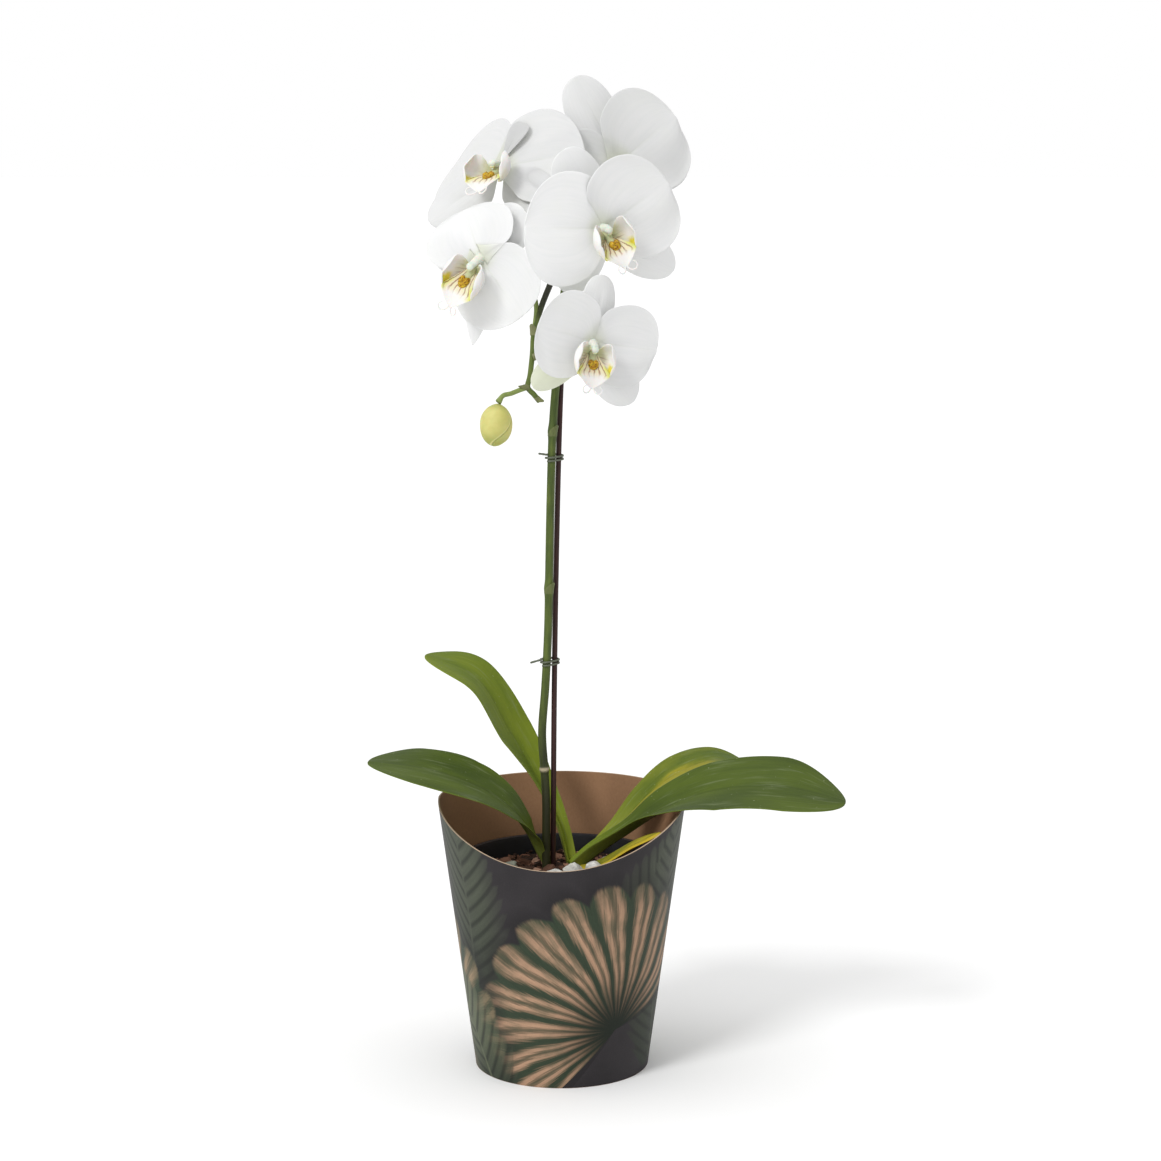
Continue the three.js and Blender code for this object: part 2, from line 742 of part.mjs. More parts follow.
// A small pointed scale that sheathes a joint of the stem.
function stemScale(curve, height, side) {
  let t = 0;
  while (curve.getPoint(t).z < height && t < 0.6) t += 0.002;
  const foot = curve.getPoint(t);
  const tip = foot.clone().add(new THREE.Vector3(side * 2.6, -1, 9));
  return tube([foot.clone().setZ(height - 3).toArray(), foot.toArray(), tip.toArray()],
    (u) => 3.1 - 2.4 * u * u, 3, 6);
}

function spike() {
  const stem = new THREE.CatmullRomCurve3(SPIKE.map(vec), false, 'centripetal');
  const pieces = [tube(SPIKE, stemRadius, 38, 6)];
  SPIKE_NODES.forEach((height, i) => pieces.push(stemScale(stem, height, i % 2 ? 1 : -1)));
  BLOOMS.forEach((bloom, i) => {
    const place = bloomPlace(bloom);
    const foot = COLUMN.line[0][2];
    const back = new THREE.Vector3(0, 0, foot - (2 * GAP) / bloom.scale).applyMatrix4(place);
    const behind = new THREE.Vector3(0, 0, foot - 7).applyMatrix4(place);
    const line = [...STALKS[i], behind.toArray(), back.toArray()];
    pieces.push(tube(line, (t) => STALK.radius + STALK.swell * t, 7, 5));
  });
  pieces.push(tube(BUD_STALK, () => STALK.radius, 5, 5));
  return geometryOf(fuse(pieces));
}

function bud() {
  const [top, tip] = [vec(BUD.top), vec(BUD.tip)];
  const length = top.distanceTo(tip);
  const body = turned(BUD.profile.map(([r, z]) => [r * BUD.radius, z * length]), 14);
  const turn = new THREE.Quaternion().setFromUnitVectors(UP, tip.clone().sub(top).normalize());
  return geometryOf(solid(body.applyQuaternion(turn).translate(...BUD.top)));
}

function pointAtHeight(points, height) {
  const curve = new THREE.CatmullRomCurve3(points.map(vec), false, 'centripetal');
  let t = 0;
  while (curve.getPoint(t).z < height) t += 0.001;
  return curve.getPoint(t);
}

// Soft wire wound about the stem and the stake, with a loose tail.
function tie(height, tail) {
  const a = pointAtHeight(SPIKE, height);
  const b = pointAtHeight(STAKE_LINE, height);
  const middle = a.clone().add(b).multiplyScalar(0.5);
  const line = a.clone().sub(b).setZ(0);
  const halfSpan = line.length() / 2;
  const axis = line.normalize();
  const side = new THREE.Vector3(-axis.y, axis.x, 0);
  const points = [];
  const steps = 12;
  for (let k = 0; k <= steps * WIRE.turns; k += 1) {
    const angle = (2 * Math.PI * k) / steps;
    const reach = THREE.MathUtils.clamp(2.5 * Math.cos(angle), -1, 1);
    const radius = lerp(STAKE.radius, STEM.radius, (reach + 1) / 2) + WIRE.radius + GAP;
    points.push(middle.clone()
      .addScaledVector(axis, reach * halfSpan + radius * Math.cos(angle))
      .addScaledVector(side, radius * Math.sin(angle))
      .setZ(height + (WIRE.pitch * k) / steps)
      .toArray());
  }
  const end = vec(points[points.length - 1]);
  points.push(end.clone().add(vec(tail).multiplyScalar(0.5)).toArray());
  points.push(end.clone().add(vec(tail)).toArray());
  return tube(points, () => WIRE.radius, 26, 4);
}

// ---------------------------------------------------------------- the whole plant

const plant = new THREE.Group();

function place(name, geometry, paint) {
  geometry.computeVertexNormals();
  const mesh = new THREE.Mesh(geometry, new THREE.MeshStandardMaterial(paint));
  mesh.name = name;
  plant.add(mesh);
}

const stemHole = tube(SPIKE.slice(0, 3), () => STEM.radius + GAP, 6, 8);

place('cover_wall', coverWall(), PAINT.board);
place('cover_base', coverBase(), PAINT.board);
place('nursery_pot', nurseryPot(), PAINT.pot);
place('bark', bark([crownAndRoots(GAP), solid(stemHole), solid(stake(GAP))]), PAINT.bark);
STONES.forEach((each, i) => place(`stone_${i + 1}`, stone(each, 0), PAINT.stone));
place('crown', geometryOf(crownAndRoots(0)), PAINT.leaf);
LEAVES.forEach((leaf, i) => {
  place(`leaf_${i + 1}`, leafBlade(leaf), i < 3 ? PAINT.leaf : PAINT.paleLeaf);
});
place('spike', spike(), PAINT.stem);
place('bud', bud(), PAINT.bud);
place('stake', stake(0), PAINT.stake);
place('tie_lower', tie(241, [-7, -3, -1.5]), PAINT.wire);
place('tie_upper', tie(361, [-5, -3, 1]), PAINT.wire);
const lipBody = lip();
BLOOMS.forEach((bloom, i) => {
  const matrix = bloomPlace(bloom);
  place(`bloom_${i + 1}`, geometryOf(flower(bloom)).applyMatrix4(matrix), PAINT.petal);
  place(`lip_${i + 1}`, geometryOf(lipBody).applyMatrix4(matrix), PAINT.lip);
});

export default plant;
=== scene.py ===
import math
import random

import bpy
import numpy as np
from mathutils import Matrix, Vector


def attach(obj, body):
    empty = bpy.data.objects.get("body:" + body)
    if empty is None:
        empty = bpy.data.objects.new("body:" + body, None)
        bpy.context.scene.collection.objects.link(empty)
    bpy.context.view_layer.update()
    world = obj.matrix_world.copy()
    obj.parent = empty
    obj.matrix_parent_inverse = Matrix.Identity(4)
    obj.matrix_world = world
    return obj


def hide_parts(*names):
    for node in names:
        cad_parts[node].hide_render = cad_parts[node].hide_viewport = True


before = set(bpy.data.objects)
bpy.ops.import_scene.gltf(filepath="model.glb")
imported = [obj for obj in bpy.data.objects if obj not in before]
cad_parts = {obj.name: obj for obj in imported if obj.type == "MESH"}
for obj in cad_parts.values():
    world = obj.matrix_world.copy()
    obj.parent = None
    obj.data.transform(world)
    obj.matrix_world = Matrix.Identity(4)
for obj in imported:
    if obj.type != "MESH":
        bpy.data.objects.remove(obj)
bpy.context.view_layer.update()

MM = 0.001
GAP = 0.3  # kept between pieces that only rest beside each other

# ---------------------------------------------------------------- sizes, as in the part

COVER = dict(height=161, front_dip=26.5, dip_turn=4, base=51.5, rim=73.3, board=1.0, cut_round=0.18)
COVER_ROWS, COVER_TURNS = 24, 288
# the glued overlap at the back of the cover
FLAP = dict(width=13, thick=0.45, turn=176, inset=0.6, gap=0.02)

POT = dict(foot=1.5, height=123.5, base=45, rim=59, wall=1.1, lip=2.2, lip_height=3.5)
DRAIN = dict(middle=6, radius=4.2, ring=29, count=5)

BARK = dict(level=112, mound=4.5, sunk=1.4)  # sunk is how far the mound lies below its loose chips
CHIP = dict(count=300, long=(6, 15), thick=(2.2, 4.4), lift=0)
CRUMB = dict(count=520, long=(2, 4.5), thick=(1.0, 2.0), lift=0.8)
CROWN = dict(x=4, y=5, foot=96, top=118, radius=6.2)
ROOTS = dict(count=4, turn=35, radius=2.6, thin=0.9)
ROOT_PATH = [(2, 4), (12, -6), (24, -20), (32, -44), (30, -70)]  # out from the crown, and down
STEM = dict(radius=2.4, tip=1.5, knot=0.55, knot_reach=0.0035)
# dark is where along the stem a stretch is painted dark: painted shade
STEM_MARKS = dict(ring_reach=0.0024, dark=0.715, dark_reach=0.05)  # shares of its length
SCALE = dict(rows=16, columns=18, wrap=150, gap=0.25, flare=0.9, thick=0.22)
STAKE_RADIUS = 1.6
WIRE = dict(radius=0.6, turns=2, pitch=1.9)
STALK = dict(radius=1.35, swell=0.35, behind=13)

# A petal or sepal lies in its bloom's frame: x to the viewer's right, y up, z to the viewer. Its
# angle is degrees from up towards the right. rise and blunt shape its outline at the claw and the
# tip, and sweep carries its shoulders back. tilt is degrees towards the viewer, bend and cup are
# shares of its length and half width, and lift, fold and ripple are millimetres. shade is painted
# light and shade: above 1 it paints the petal lighter, as if more light fell on it, and below 1
# greyer, as if it lay in shadow. green gives it a green blush.

PETAL = dict(length=49, width=63, rise=0.62, blunt=0.42, sweep=0.24, tilt=8, bend=-0.06, cup=0.1,
             lift=1.2, fold=0, ripple=0.75)
SEPAL = dict(length=46, width=29, rise=0.55, blunt=0.48, sweep=0, tilt=2, bend=-0.08, cup=-0.16,
             lift=-1.0, fold=0, ripple=0.35)
DORSAL = SEPAL | dict(length=47, width=30, rise=0.62, blunt=0.46, bend=-0.1)

# Five open blooms, in the order in which they leave the spike. turn, nod and roll are degrees:
# turn to the viewer's right, nod upwards, roll anticlockwise as seen from the front. white is
# painted light and shade: how white the bloom's petals are painted, whiter where the bloom faces
# the light and greyer where it turns away into shade. The column and the lip lean by lean, right
# and up, for each millimetre that they reach forwards, open widens both, and lip_turn turns both
# anticlockwise.
BLOOMS = [
    dict(
        at=(33.5, 4, 533), turn=15, nod=4, roll=38, scale=1.0, lean=(-0.3, -0.42), open=0.75,
        white=0.89,
        dorsal=dict(angle=10.5, length=54.5, width=30),
        sepal_right=dict(angle=134, length=42),
        sepal_left=dict(angle=-139),
        petal_right=dict(angle=88, length=41.5, width=64, tilt=12, fold=8),
        petal_left=dict(angle=-82, width=62, tilt=-8),
    ),
    dict(
        at=(-33.7, -12, 530), turn=-24, nod=33, roll=8, scale=1.07, lean=(-0.1, -0.36), white=0.82,
        # painted shade: this upper sepal is painted grey for the shadow it lies in between the petals
        dorsal=dict(angle=22, length=28, width=11, tilt=5, lift=2.5, rise=1.5, blunt=0.34, cup=0,
                    shade=0.8),
        sepal_right=dict(angle=133, length=46, width=28, tilt=3),
        sepal_left=dict(angle=-125, length=48, width=29, tilt=3),
        petal_right=dict(angle=78, length=45, width=61, tilt=-9, sweep=0.14),
        petal_left=dict(angle=-61, length=50, width=60, tilt=-26, sweep=0.06),
    ),
    dict(
        at=(23, -52, 497.5), turn=24, nod=-7, roll=20, scale=1.0, white=1.02,
        dorsal=dict(angle=-9, length=49, width=30),
        sepal_right=dict(angle=138, length=53, width=27, tilt=4),
        sepal_left=dict(angle=-131, length=41, width=28),
        # painted light and shade: the right petal is painted greyer and the left one lighter, for light
        # falling from the left
        petal_right=dict(angle=69, length=45, width=65, tilt=20, fold=5, shade=0.94),
        petal_left=dict(angle=-68, length=50, width=64, tilt=9, shade=1.09),
    ),
    dict(
        at=(-44.5, -42, 481), turn=-32, nod=-9, roll=-55, scale=0.94, white=1.02, open=1.1,
        lean=(0, -0.45), lip_turn=30,
        dorsal=dict(angle=-7, length=41, width=29, tilt=0),
        sepal_right=dict(angle=140, length=57, width=20, blunt=0.8),
        sepal_left=dict(angle=-145, length=38, width=26),
        petal_right=dict(angle=92, length=43, width=66, tilt=-2),
        petal_left=dict(angle=-76, length=30, width=69, tilt=-6),
    ),
    dict(
        at=(17.8, -66, 435.4), turn=26, nod=-7, roll=-9, scale=0.84, lean=(-0.22, -0.4), open=1.25,
        white=0.97,
        dorsal=dict(angle=3, length=44, width=25, tilt=-3),
        sepal_right=dict(angle=133, length=54, width=33, tilt=4),
        # its green blush is partly the sepal's own green back and partly painted shade, for the shadow it
        # lies in
        sepal_left=dict(angle=-135, length=50, width=24, green=1),
        # painted shade: the right petal is painted greyer, as if turned away from the light
        petal_right=dict(angle=88, length=45, width=56, tilt=13, fold=4, shade=0.93),
        petal_left=dict(angle=-81, length=46, width=59, tilt=9),
    ),
]
TEPALS = [("dorsal", DORSAL), ("sepal_right", SEPAL), ("sepal_left", SEPAL),
          ("petal_right", PETAL), ("petal_left", PETAL)]
TEPAL = dict(rows=40, columns=36, thick=0.8, edge=0.45)

# The column, from the knob behind the petals to its tip, and the radii along it.
COLUMN_LINE = [(0, 0, -6), (0, 0, -2), (0, 0.4, 2), (0, 0.9, 6.6), (0, -0.4, 11.2)]
COLUMN_RADII = [2.2, 4.4, 4.6, 3.4, 2.6, 2.3, 2.4, 2.2, 1.0]

# The lip, in the bloom's frame: spines, half widths along them and how deeply the blades are
# cupped. tip is the share of a lobe's length that is rounded off, and hood draws its upper edge
# in at its foot. The side lobe and the tendril are the right ones.
SIDE_LOBE = dict(
    spine=[(1.6, -6.2, 4.6), (6.8, -5.6, 6.6), (10.8, -4.6, 10.4), (12.0, -3.6, 15.0), (10.6, -3.0, 19.4)],
    widths=[2.6, 7.0, 9.6, 10.6, 10.2], cup=[0.1, 0.24, 0.3, 0.34, 0.4], tip=0.36, hood=0.5,
)
MIDDLE_LOBE = dict(
    spine=[(0, -5.6, 4), (0, -7.6, 9), (0, -9.8, 12.8), (0, -12.8, 15.6), (0, -16.6, 18), (0, -20.4, 20)],
    widths=[3.0, 5.0, 7.2, 9.8, 5.8, 2.0], cup=[-0.2, -0.2, -0.24, -0.3, -0.3, -0.1], rows=40, columns=28,
)
TENDRIL = [(0.6, -19.6, 19.8), (1.8, -21.4, 21.4), (4.0, -21.8, 22.6), (5.6, -20.2, 22.8),
           (5.4, -18.0, 22.4), (4.0, -17.0, 22.0)]
CALLUS = [((1.4, -7.8, 12.0), (3.4, 4.6, 4.6)), ((-1.4, -7.8, 12.0), (3.4, 4.6, 4.6)),
          ((0, -9.2, 13.0), (5.6, 4.2, 3.6))]  # places and sizes of its lumps
LIP_FOOT = [(0, -8.0, 10), (0, -5, 6.4), (0, -1, 3.6)]
LOBE_THICK = 0.7

# The spike: up from the bark, over an arch, and down towards the viewer to the bud.
SPIKE = [
    (-9.4, 0, 92), (-9.2, 0, 136), (-9.2, 0, 160), (-10.2, 0, 178.6), (-11.5, 0, 200),
    (-9.6, 0, 228), (-8, 0.6, 260), (-7.2, 2, 300), (-6.4, 4.5, 340), (-5, 6.2, 382),
    (-2.4, 8, 415), (1, 9, 452), (3.6, 6, 478), (4.5, -4, 493), (4, -16, 497), (2.5, -28, 491),
    (-0.5, -37, 478), (-6, -43, 465.5), (-11, -45, 452.8), (-14.9, -46, 438.9), (-15.8, -47, 427),
    (-17.2, -48, 415), (-18.4, -48, 408.6), (-15, -48, 404.6), (-11.6, -48, 400.4),
]
STEM_JOINTS = [(178.6, 0), (286, 1), (378, 1)]  # height, and the side of its scale, or 0

STALKS = [
    [(3.6, 6, 478), (14, 14, 500), (24, 20, 522)],
    [(4.5, -10, 496.5), (-6, -8, 504), (-18, -4, 513)],
    [(3.2, -24, 494), (8, -34, 498)],
    [(-14.9, -46, 438.9), (-14, -43.5, 456), (-22, -36, 470), (-32, -30, 478)],
    [(-15.8, -47, 427), (-6, -46, 431), (3, -50, 434)],
]

BUD = dict(top=(-34.9, -58, 400.4), tip=(-37.3, -58, 376.4), radius=9.1, twist=2.0)
BUD_PROFILE = [(0, 0), (0.22, 0.02), (0.62, 0.12), (0.92, 0.3), (1, 0.48), (0.93, 0.68),
               (0.66, 0.86), (0.3, 0.97), (0, 1)]  # shares of its radius and of its length
BUD_SEAMS = (0.1, 3.4, 4.95)  # where round the bud its sepals meet, in radians
BUD_STALK = [(-18.4, -48, 408.6), (-22.8, -50, 407.3), (-27.8, -53, 405.6), (-32.2, -56, 404.6),
             (-34.8, -57.9, 401.2)]

STAKE = [(-6.2, 4.4, 24), (-5.2, 4.2, 130), (-4.4, 3.8, 220), (-3.3, 6, 290), (-1.2, 10, 378),
         (0.9, 13.4, 432)]
TIES = [("tie_lower", 241, (-7, -3, -1.5)), ("tie_upper", 361, (-5, -3, 1))]  # height and loose tail

# Leaves: spine points, half widths along them, the turn of the blade about its spine in degrees,
# how deeply it is channelled, its skin, one of LEAF_SKINS, and its material slot.
LEAVES = [
    dict(
        skin="leaf", slot="leaf",
        spine=[(-6, 8, 113), (-13, 2.5, 127), (-20, -5.5, 143), (-31, -12, 158.5),
               (-50, -16.5, 172.5), (-80, -18.5, 182.5), (-113, -20, 187)],
        widths=[3.4, 4.6, 10, 17, 23.5, 25, 19], turn=[30, 34, 34, 28, 18, 14, 10],
        channel=[0.9, 0.7, 0.5, 0.3, 0.15, 0.1, 0.05],
    ),
    dict(
        skin="young_leaf", slot="leaf",
        spine=[(5, 13, 116), (-1.5, 20, 139), (-13.5, 26.5, 163), (-31, 31, 193), (-52, 33, 227),
               (-82, 33, 240.5)],
        widths=[4.6, 5.6, 10, 18, 19, 14.5], turn=[0, 6, 15, 20, 20, 15],
        channel=[1.0, 0.9, 0.6, 0.3, 0.2, 0.1],
    ),
    dict(
        skin="leaf", slot="leaf",
        spine=[(7, -1, 116.5), (20, -2, 128), (37, -4, 140.5), (59, -8, 155.5), (90, -12, 168),
               (130, -16, 171), (166, -20, 163)],
        widths=[8, 9.5, 10, 19, 27, 29, 23], turn=[0, 0, 3, 12, 19, 20, 14],
        channel=[0.9, 0.8, 0.6, 0.35, 0.15, 0.1, 0.05],
    ),
    dict(
        skin="pale_leaf", slot="pale_leaf",
        spine=[(14.5, 12.5, 121), (34, 23, 138), (53, 32, 156), (73, 39, 169), (92, 44, 174),
               (110, 47, 172)],
        widths=[4, 6.5, 12, 18, 17, 11], turn=[0, 0, 5, 12, 12, 8],
        channel=[0.9, 0.7, 0.4, 0.2, 0.1, 0.05],
    ),
    dict(
        skin="old_leaf", slot="pale_leaf",
        spine=[(7, -1.3, 118.5), (14, -8, 120.4), (23.5, -15, 124.6), (42, -25, 138.5),
               (58, -32, 148)],
        widths=[2.4, 3.0, 3.6, 4.0, 2.4], turn=[20, 30, 30, 30, 30], channel=[0.6, 0.5, 0.5, 0.4, 0.2],
    ),
]
LEAF = dict(thick=2.0, edge=0.7, tip=0.16, groove=0.55, keel=0.8, wave=0.9, rows=84, columns=30)

# Stones: place on the bark, size, turn, height above it, and how green they are.
STONES = [
    dict(at=(-5, -23), size=(13, 9.6, 8), turn=10, lift=5, green=0.08),
    dict(at=(7, -21), size=(13, 10.2, 9.8), turn=-20, lift=6.4, green=0.16),
    dict(at=(19, -19), size=(12.4, 10, 9.6), turn=35, lift=6.4, green=0),
    dict(at=(-22, -17), size=(9, 8, 6), turn=60, lift=3.6, green=0.7),
    dict(at=(27, 22), size=(12, 9.6, 7.2), turn=15, lift=2, green=0.16),
    dict(at=(-30, 14), size=(12, 9.6, 6), turn=80, lift=0.4, green=0.7),
]

# ---------------------------------------------------------------- numbers and curves


def lerp(a, b, t):
    return a + (b - a) * t


def smooth(x, low, high):
    t = np.clip((x - low) / (high - low), 0, 1)
    return t * t * (3 - 2 * t)


def through(values, t):
    """A value that runs evenly through a list as t goes from 0 to 1."""
    return np.interp(t, np.linspace(0, 1, len(values)), values)


def unit(v):
    v = np.asarray(v, float)
    return v / np.linalg.norm(v, axis=-1, keepdims=True)


def curve(points, ts):
    """Points and directions at shares ts of a smooth curve through the points."""
    knots = np.array(points, float)
    ends = np.vstack([2 * knots[0] - knots[1], knots, 2 * knots[-1] - knots[-2]])
    place = np.clip(np.atleast_1d(ts), 0, 1) * (len(knots) - 1)
    i = np.minimum(place.astype(int), len(knots) - 2)
    u = (place - i)[:, None]
    p0, p1, p2, p3 = (ends[i + k] for k in range(4))
    d0, d1, d2 = (np.sqrt(np.linalg.norm(b - a, axis=1))[:, None]
                  for a, b in ((p0, p1), (p1, p2), (p2, p3)))
    m1 = d1 * ((p1 - p0) / d0 - (p2 - p0) / (d0 + d1) + (p2 - p1) / d1)
    m2 = d1 * ((p2 - p1) / d1 - (p3 - p1) / (d1 + d2) + (p3 - p2) / d2)
    a = 2 * p1 - 2 * p2 + m1 + m2
    b = 3 * (p2 - p1) - 2 * m1 - m2
    return ((a * u + b) * u + m1) * u + p1, unit((3 * a * u + 2 * b) * u + m1)


def share_at_height(points, height):
    """How far along a rising curve it reaches a height."""
    ts = np.linspace(0, 1, 2001)
    heights = curve(points, ts)[0][:, 2]
    return ts[int(np.argmax(heights >= height))]


def half_widths(widths, ts, tip, least):
    """Half widths along a blade that run smoothly through a list and round off over its tip."""
    spread = [(i, width, 0) for i, width in enumerate(widths)]
    end = np.clip((ts - 1 + tip) / tip, 0, 1)
    return np.maximum(curve(spread, ts)[0][:, 1] * np.sqrt(1 - end ** 2), least)


def turned_about(vectors, axes, angles):
    """Vectors turned about axes by angles, row by row."""
    c, s = np.cos(angles)[:, None], np.sin(angles)[:, None]
    dot = np.sum(vectors * axes, axis=1)[:, None]
    return vectors * c + np.cross(axes, vectors) * s + axes * dot * (1 - c)


def ripples(x, y, seed, waves=4):
    """A soft uneven value about 0 over x and y."""
    draw = random.Random(seed)
    total = np.zeros(np.broadcast(x, y).shape)
    for k in range(waves):
        a, b, c = draw.uniform(-1, 1), draw.uniform(-1, 1), draw.uniform(0, 6.3)
        total = total + np.sin((1 + k) * (a * x + b * y) + c) / (1 + k)
    return total / 1.6


# ---------------------------------------------------------------- meshes


class Form:
    """Points in millimetres, faces, and named numbers at the points, gathered for one piece."""

    def __init__(self):
        self.points = np.zeros((0, 3))
        self.faces = []
        self.fields = {}

    def add(self, points, faces, **fields):
        """Adds points with their faces; a field is one number for all of them or one for each."""
        start = len(self.points)
        points = np.asarray(points, float).reshape(-1, 3)
        self.points = np.vstack([self.points, points])
        self.faces += [[start + int(k) for k in face] for face in faces]
        for name in self.fields | fields:
            before = self.fields.get(name, np.zeros(start))
            value = np.asarray(fields.get(name, 0.0), float).ravel()
            if value.size == 1:
                value = np.full(len(points), value[0])
            self.fields[name] = np.concatenate([before, value])

    def placed(self, matrix):
        """Moves all that is gathered by a 4 x 4 matrix."""
        self.points = self.points @ matrix[:3, :3].T + matrix[:3, 3]
        return self

    def mesh(self, name, sharp=None):
        made = bpy.data.meshes.new(name)
        made.from_pydata((self.points * MM).tolist(), [], self.faces)
        for field, values in self.fields.items():
            made.attributes.new(field, "FLOAT", "POINT").data.foreach_set("value", values)
        made.polygons.foreach_set("use_smooth", [sharp != 0] * len(made.polygons))
        if sharp:
            made.set_sharp_from_angle(angle=math.radians(sharp))
        made.update()
        return made


def show(name, form, material, slot, *nodes, sharp=None):
    """Puts a gathered form into the part as a piece that stands for CAD nodes."""
    piece = bpy.data.objects.new(name, form.mesh(name, sharp))
    bpy.context.scene.collection.objects.link(piece)
    piece.data.materials.append(material)
    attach(piece, "root")
    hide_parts(*nodes)
    return piece


def face_field(piece, name, values):
    """A named number on each face of a piece."""
    field = piece.data.attributes.new(name, "FLOAT", "FACE")
    field.data.foreach_set("value", [float(value) for value in values])


def grid_faces(rows, columns, closed=False):
    """Quads over a grid of points, row by row; closed joins the last column to the first."""
    width = columns if closed else columns - 1
    return [[i * columns + j, (i + 1) * columns + j, (i + 1) * columns + (j + 1) % columns,
             i * columns + (j + 1) % columns] for i in range(rows - 1) for j in range(width)]


def lump_faces(rows, columns, turned=False):
    """Faces over closed rows of points, and over two more points that close the first and the
    last row; turned faces look the other way."""
    faces = grid_faces(rows, columns, closed=True)
    first_end, last_row = rows * columns, (rows - 1) * columns
    for j in range(columns):
        n = (j + 1) % columns
        faces.append([first_end, j, n])
        faces.append([first_end + 1, last_row + n, last_row + j])
    return [face[::-1] for face in faces] if turned else faces


def blade(form, grid, front, back, **fields):
    """A closed blade about a grid of points, thinning to nothing at its border. front and back
    are its half thicknesses; the front faces the side that rows x columns turn to."""
    rows, columns, _ = grid.shape
    front, back = (np.broadcast_to(half, (rows, columns)) for half in (front, back))
    along = np.gradient(grid, axis=0)
    across = np.gradient(grid, axis=1)
    normal = unit(np.cross(along, across) + 1e-12)
    index = np.arange(rows * columns).reshape(rows, columns)
    inner = np.zeros((rows, columns), bool)
    inner[1:-1, 1:-1] = True
    under = index.copy()
    under[inner] = rows * columns + np.arange(inner.sum())
    top = np.where(inner[..., None], grid + normal * front[..., None], grid)
    low = (grid - normal * back[..., None])[inner]
    faces = grid_faces(rows, columns)
    turned = under.ravel()
    faces += [[turned[k] for k in reversed(face)] for face in grid_faces(rows, columns)]
    carried = {}
    for name, values in fields.items():
        values = np.broadcast_to(np.asarray(values, float), (rows, columns))
        carried[name] = np.concatenate([values.ravel(), values[inner]])
    side = np.concatenate([np.zeros(rows * columns), np.ones(inner.sum())])
    form.add(np.vstack([top.reshape(-1, 3), low]), faces, under=side, **carried)


def tube(form, points, radius, ts, sides=20, rings=None, **fields):
    """A closed round tube along a smooth curve, with a ring of points at each of the shares ts
    and a radius for each; rings, where given, changes the radius round it by (share, angles)."""
    centres, along = curve(points, ts)
    first = along[0]
    side = unit(np.cross([-first[2], first[0], first[1]], first))
    angles = np.linspace(0, 2 * math.pi, sides, endpoint=False)
    loops, shares = [], []
    for k, t in enumerate(ts):
        side = unit(side - along[k] * np.dot(side, along[k]))
        other = np.cross(along[k], side)
        reach = np.full(sides, float(radius(t)))
        if rings is not None:
            reach = reach + rings(t, angles)
        loops.append(centres[k] + np.outer(np.cos(angles) * reach, side)
                     + np.outer(np.sin(angles) * reach, other))
        shares.append(np.full(sides, t))
    faces = [list(reversed(face)) for face in grid_faces(len(ts), sides, closed=True)]
    last = (len(ts) - 1) * sides
    faces.append(list(reversed(range(sides))))
    faces.append([last + k for k in range(sides)])
    form.add(np.vstack(loops), faces, share=np.concatenate(shares), **fields)


def even(steps):
    """Even shares from 0 to 1."""
    return np.linspace(0, 1, steps + 1)


def dome_steps(steps, cap):
    """Shares from 0 to 1 that stand close together in a cap at both ends."""
    ends = cap * (1 - np.cos(np.linspace(0, math.pi / 2, 6)))
    return np.concatenate([ends, np.linspace(cap, 1 - cap, steps)[1:-1], 1 - ends[::-1]])


def rod(form, points, radius, steps, cap, **more):
    """A tube that closes in a dome at both ends; cap is a dome's share of its length."""
    def domed(t):
        end = min(min(t, 1 - t) / cap, 1)
        return radius(t) * math.sqrt(max(1e-4, 1 - (1 - end) ** 2))

    tube(form, points, domed, dome_steps(steps, cap), **more)


def lathe(form, section, turns):
    """A round shell about the Z axis; section(angle) gives its closed outline of (radius, height)."""
    loops = []
    for angle in np.linspace(0, 2 * math.pi, turns, endpoint=False):
        loops.append([(r * math.cos(angle), r * math.sin(angle), z) for r, z in section(angle)])
    count = len(loops[0])
    faces = []
    for k in range(turns):
        after = (k + 1) % turns
        for m in range(count):
            n = (m + 1) % count
            faces.append([k * count + m, after * count + m, after * count + n, k * count + n])
    form.add(loops, faces)


def ball(form, centre, size, bumps=None, rows=18, columns=28, **fields):
    """A closed rounded lump; bumps(directions), where given, is each point's share of its radius."""
    polar = np.linspace(0, math.pi, rows + 1)[1:-1]
    around = np.linspace(0, 2 * math.pi, columns, endpoint=False)
    p, a = np.meshgrid(polar, around, indexing="ij")
    ways = np.stack([np.sin(p) * np.cos(a), np.sin(p) * np.sin(a), np.cos(p)], axis=-1).reshape(-1, 3)
    ways = np.vstack([ways, [(0, 0, 1), (0, 0, -1)]])
    reach = np.ones(len(ways)) if bumps is None else bumps(ways)
    points = ways * reach[:, None] * np.array(size) / 2 + np.array(centre)
    form.add(points, lump_faces(rows - 1, columns), **fields)


# ---------------------------------------------------------------- finishes


class Value:
    """A socket of a material, on which Python arithmetic adds Math nodes."""

    def __init__(self, paint, socket):
        self.paint = paint
        self.socket = socket

    def __add__(self, other):
        return self.paint.maths("ADD", self, other)

    def __radd__(self, other):
        return self.paint.maths("ADD", other, self)

    def __sub__(self, other):
        return self.paint.maths("SUBTRACT", self, other)

    def __rsub__(self, other):
        return self.paint.maths("SUBTRACT", other, self)

    def __mul__(self, other):
        return self.paint.maths("MULTIPLY", self, other)

    def __rmul__(self, other):
        return self.paint.maths("MULTIPLY", other, self)

    def __truediv__(self, other):
        return self.paint.maths("DIVIDE", self, other)

    def __rtruediv__(self, other):
        return self.paint.maths("DIVIDE", other, self)

    def __pow__(self, other):
        return self.paint.maths("POWER", self, other)

    def __neg__(self):
        return self.paint.maths("MULTIPLY", self, -1.0)

    def __abs__(self):
        return self.paint.maths("ABSOLUTE", self)

    def __lt__(self, other):
        return self.paint.maths("LESS_THAN", self, other)

    def __gt__(self, other):
        return self.paint.maths("GREATER_THAN", self, other)


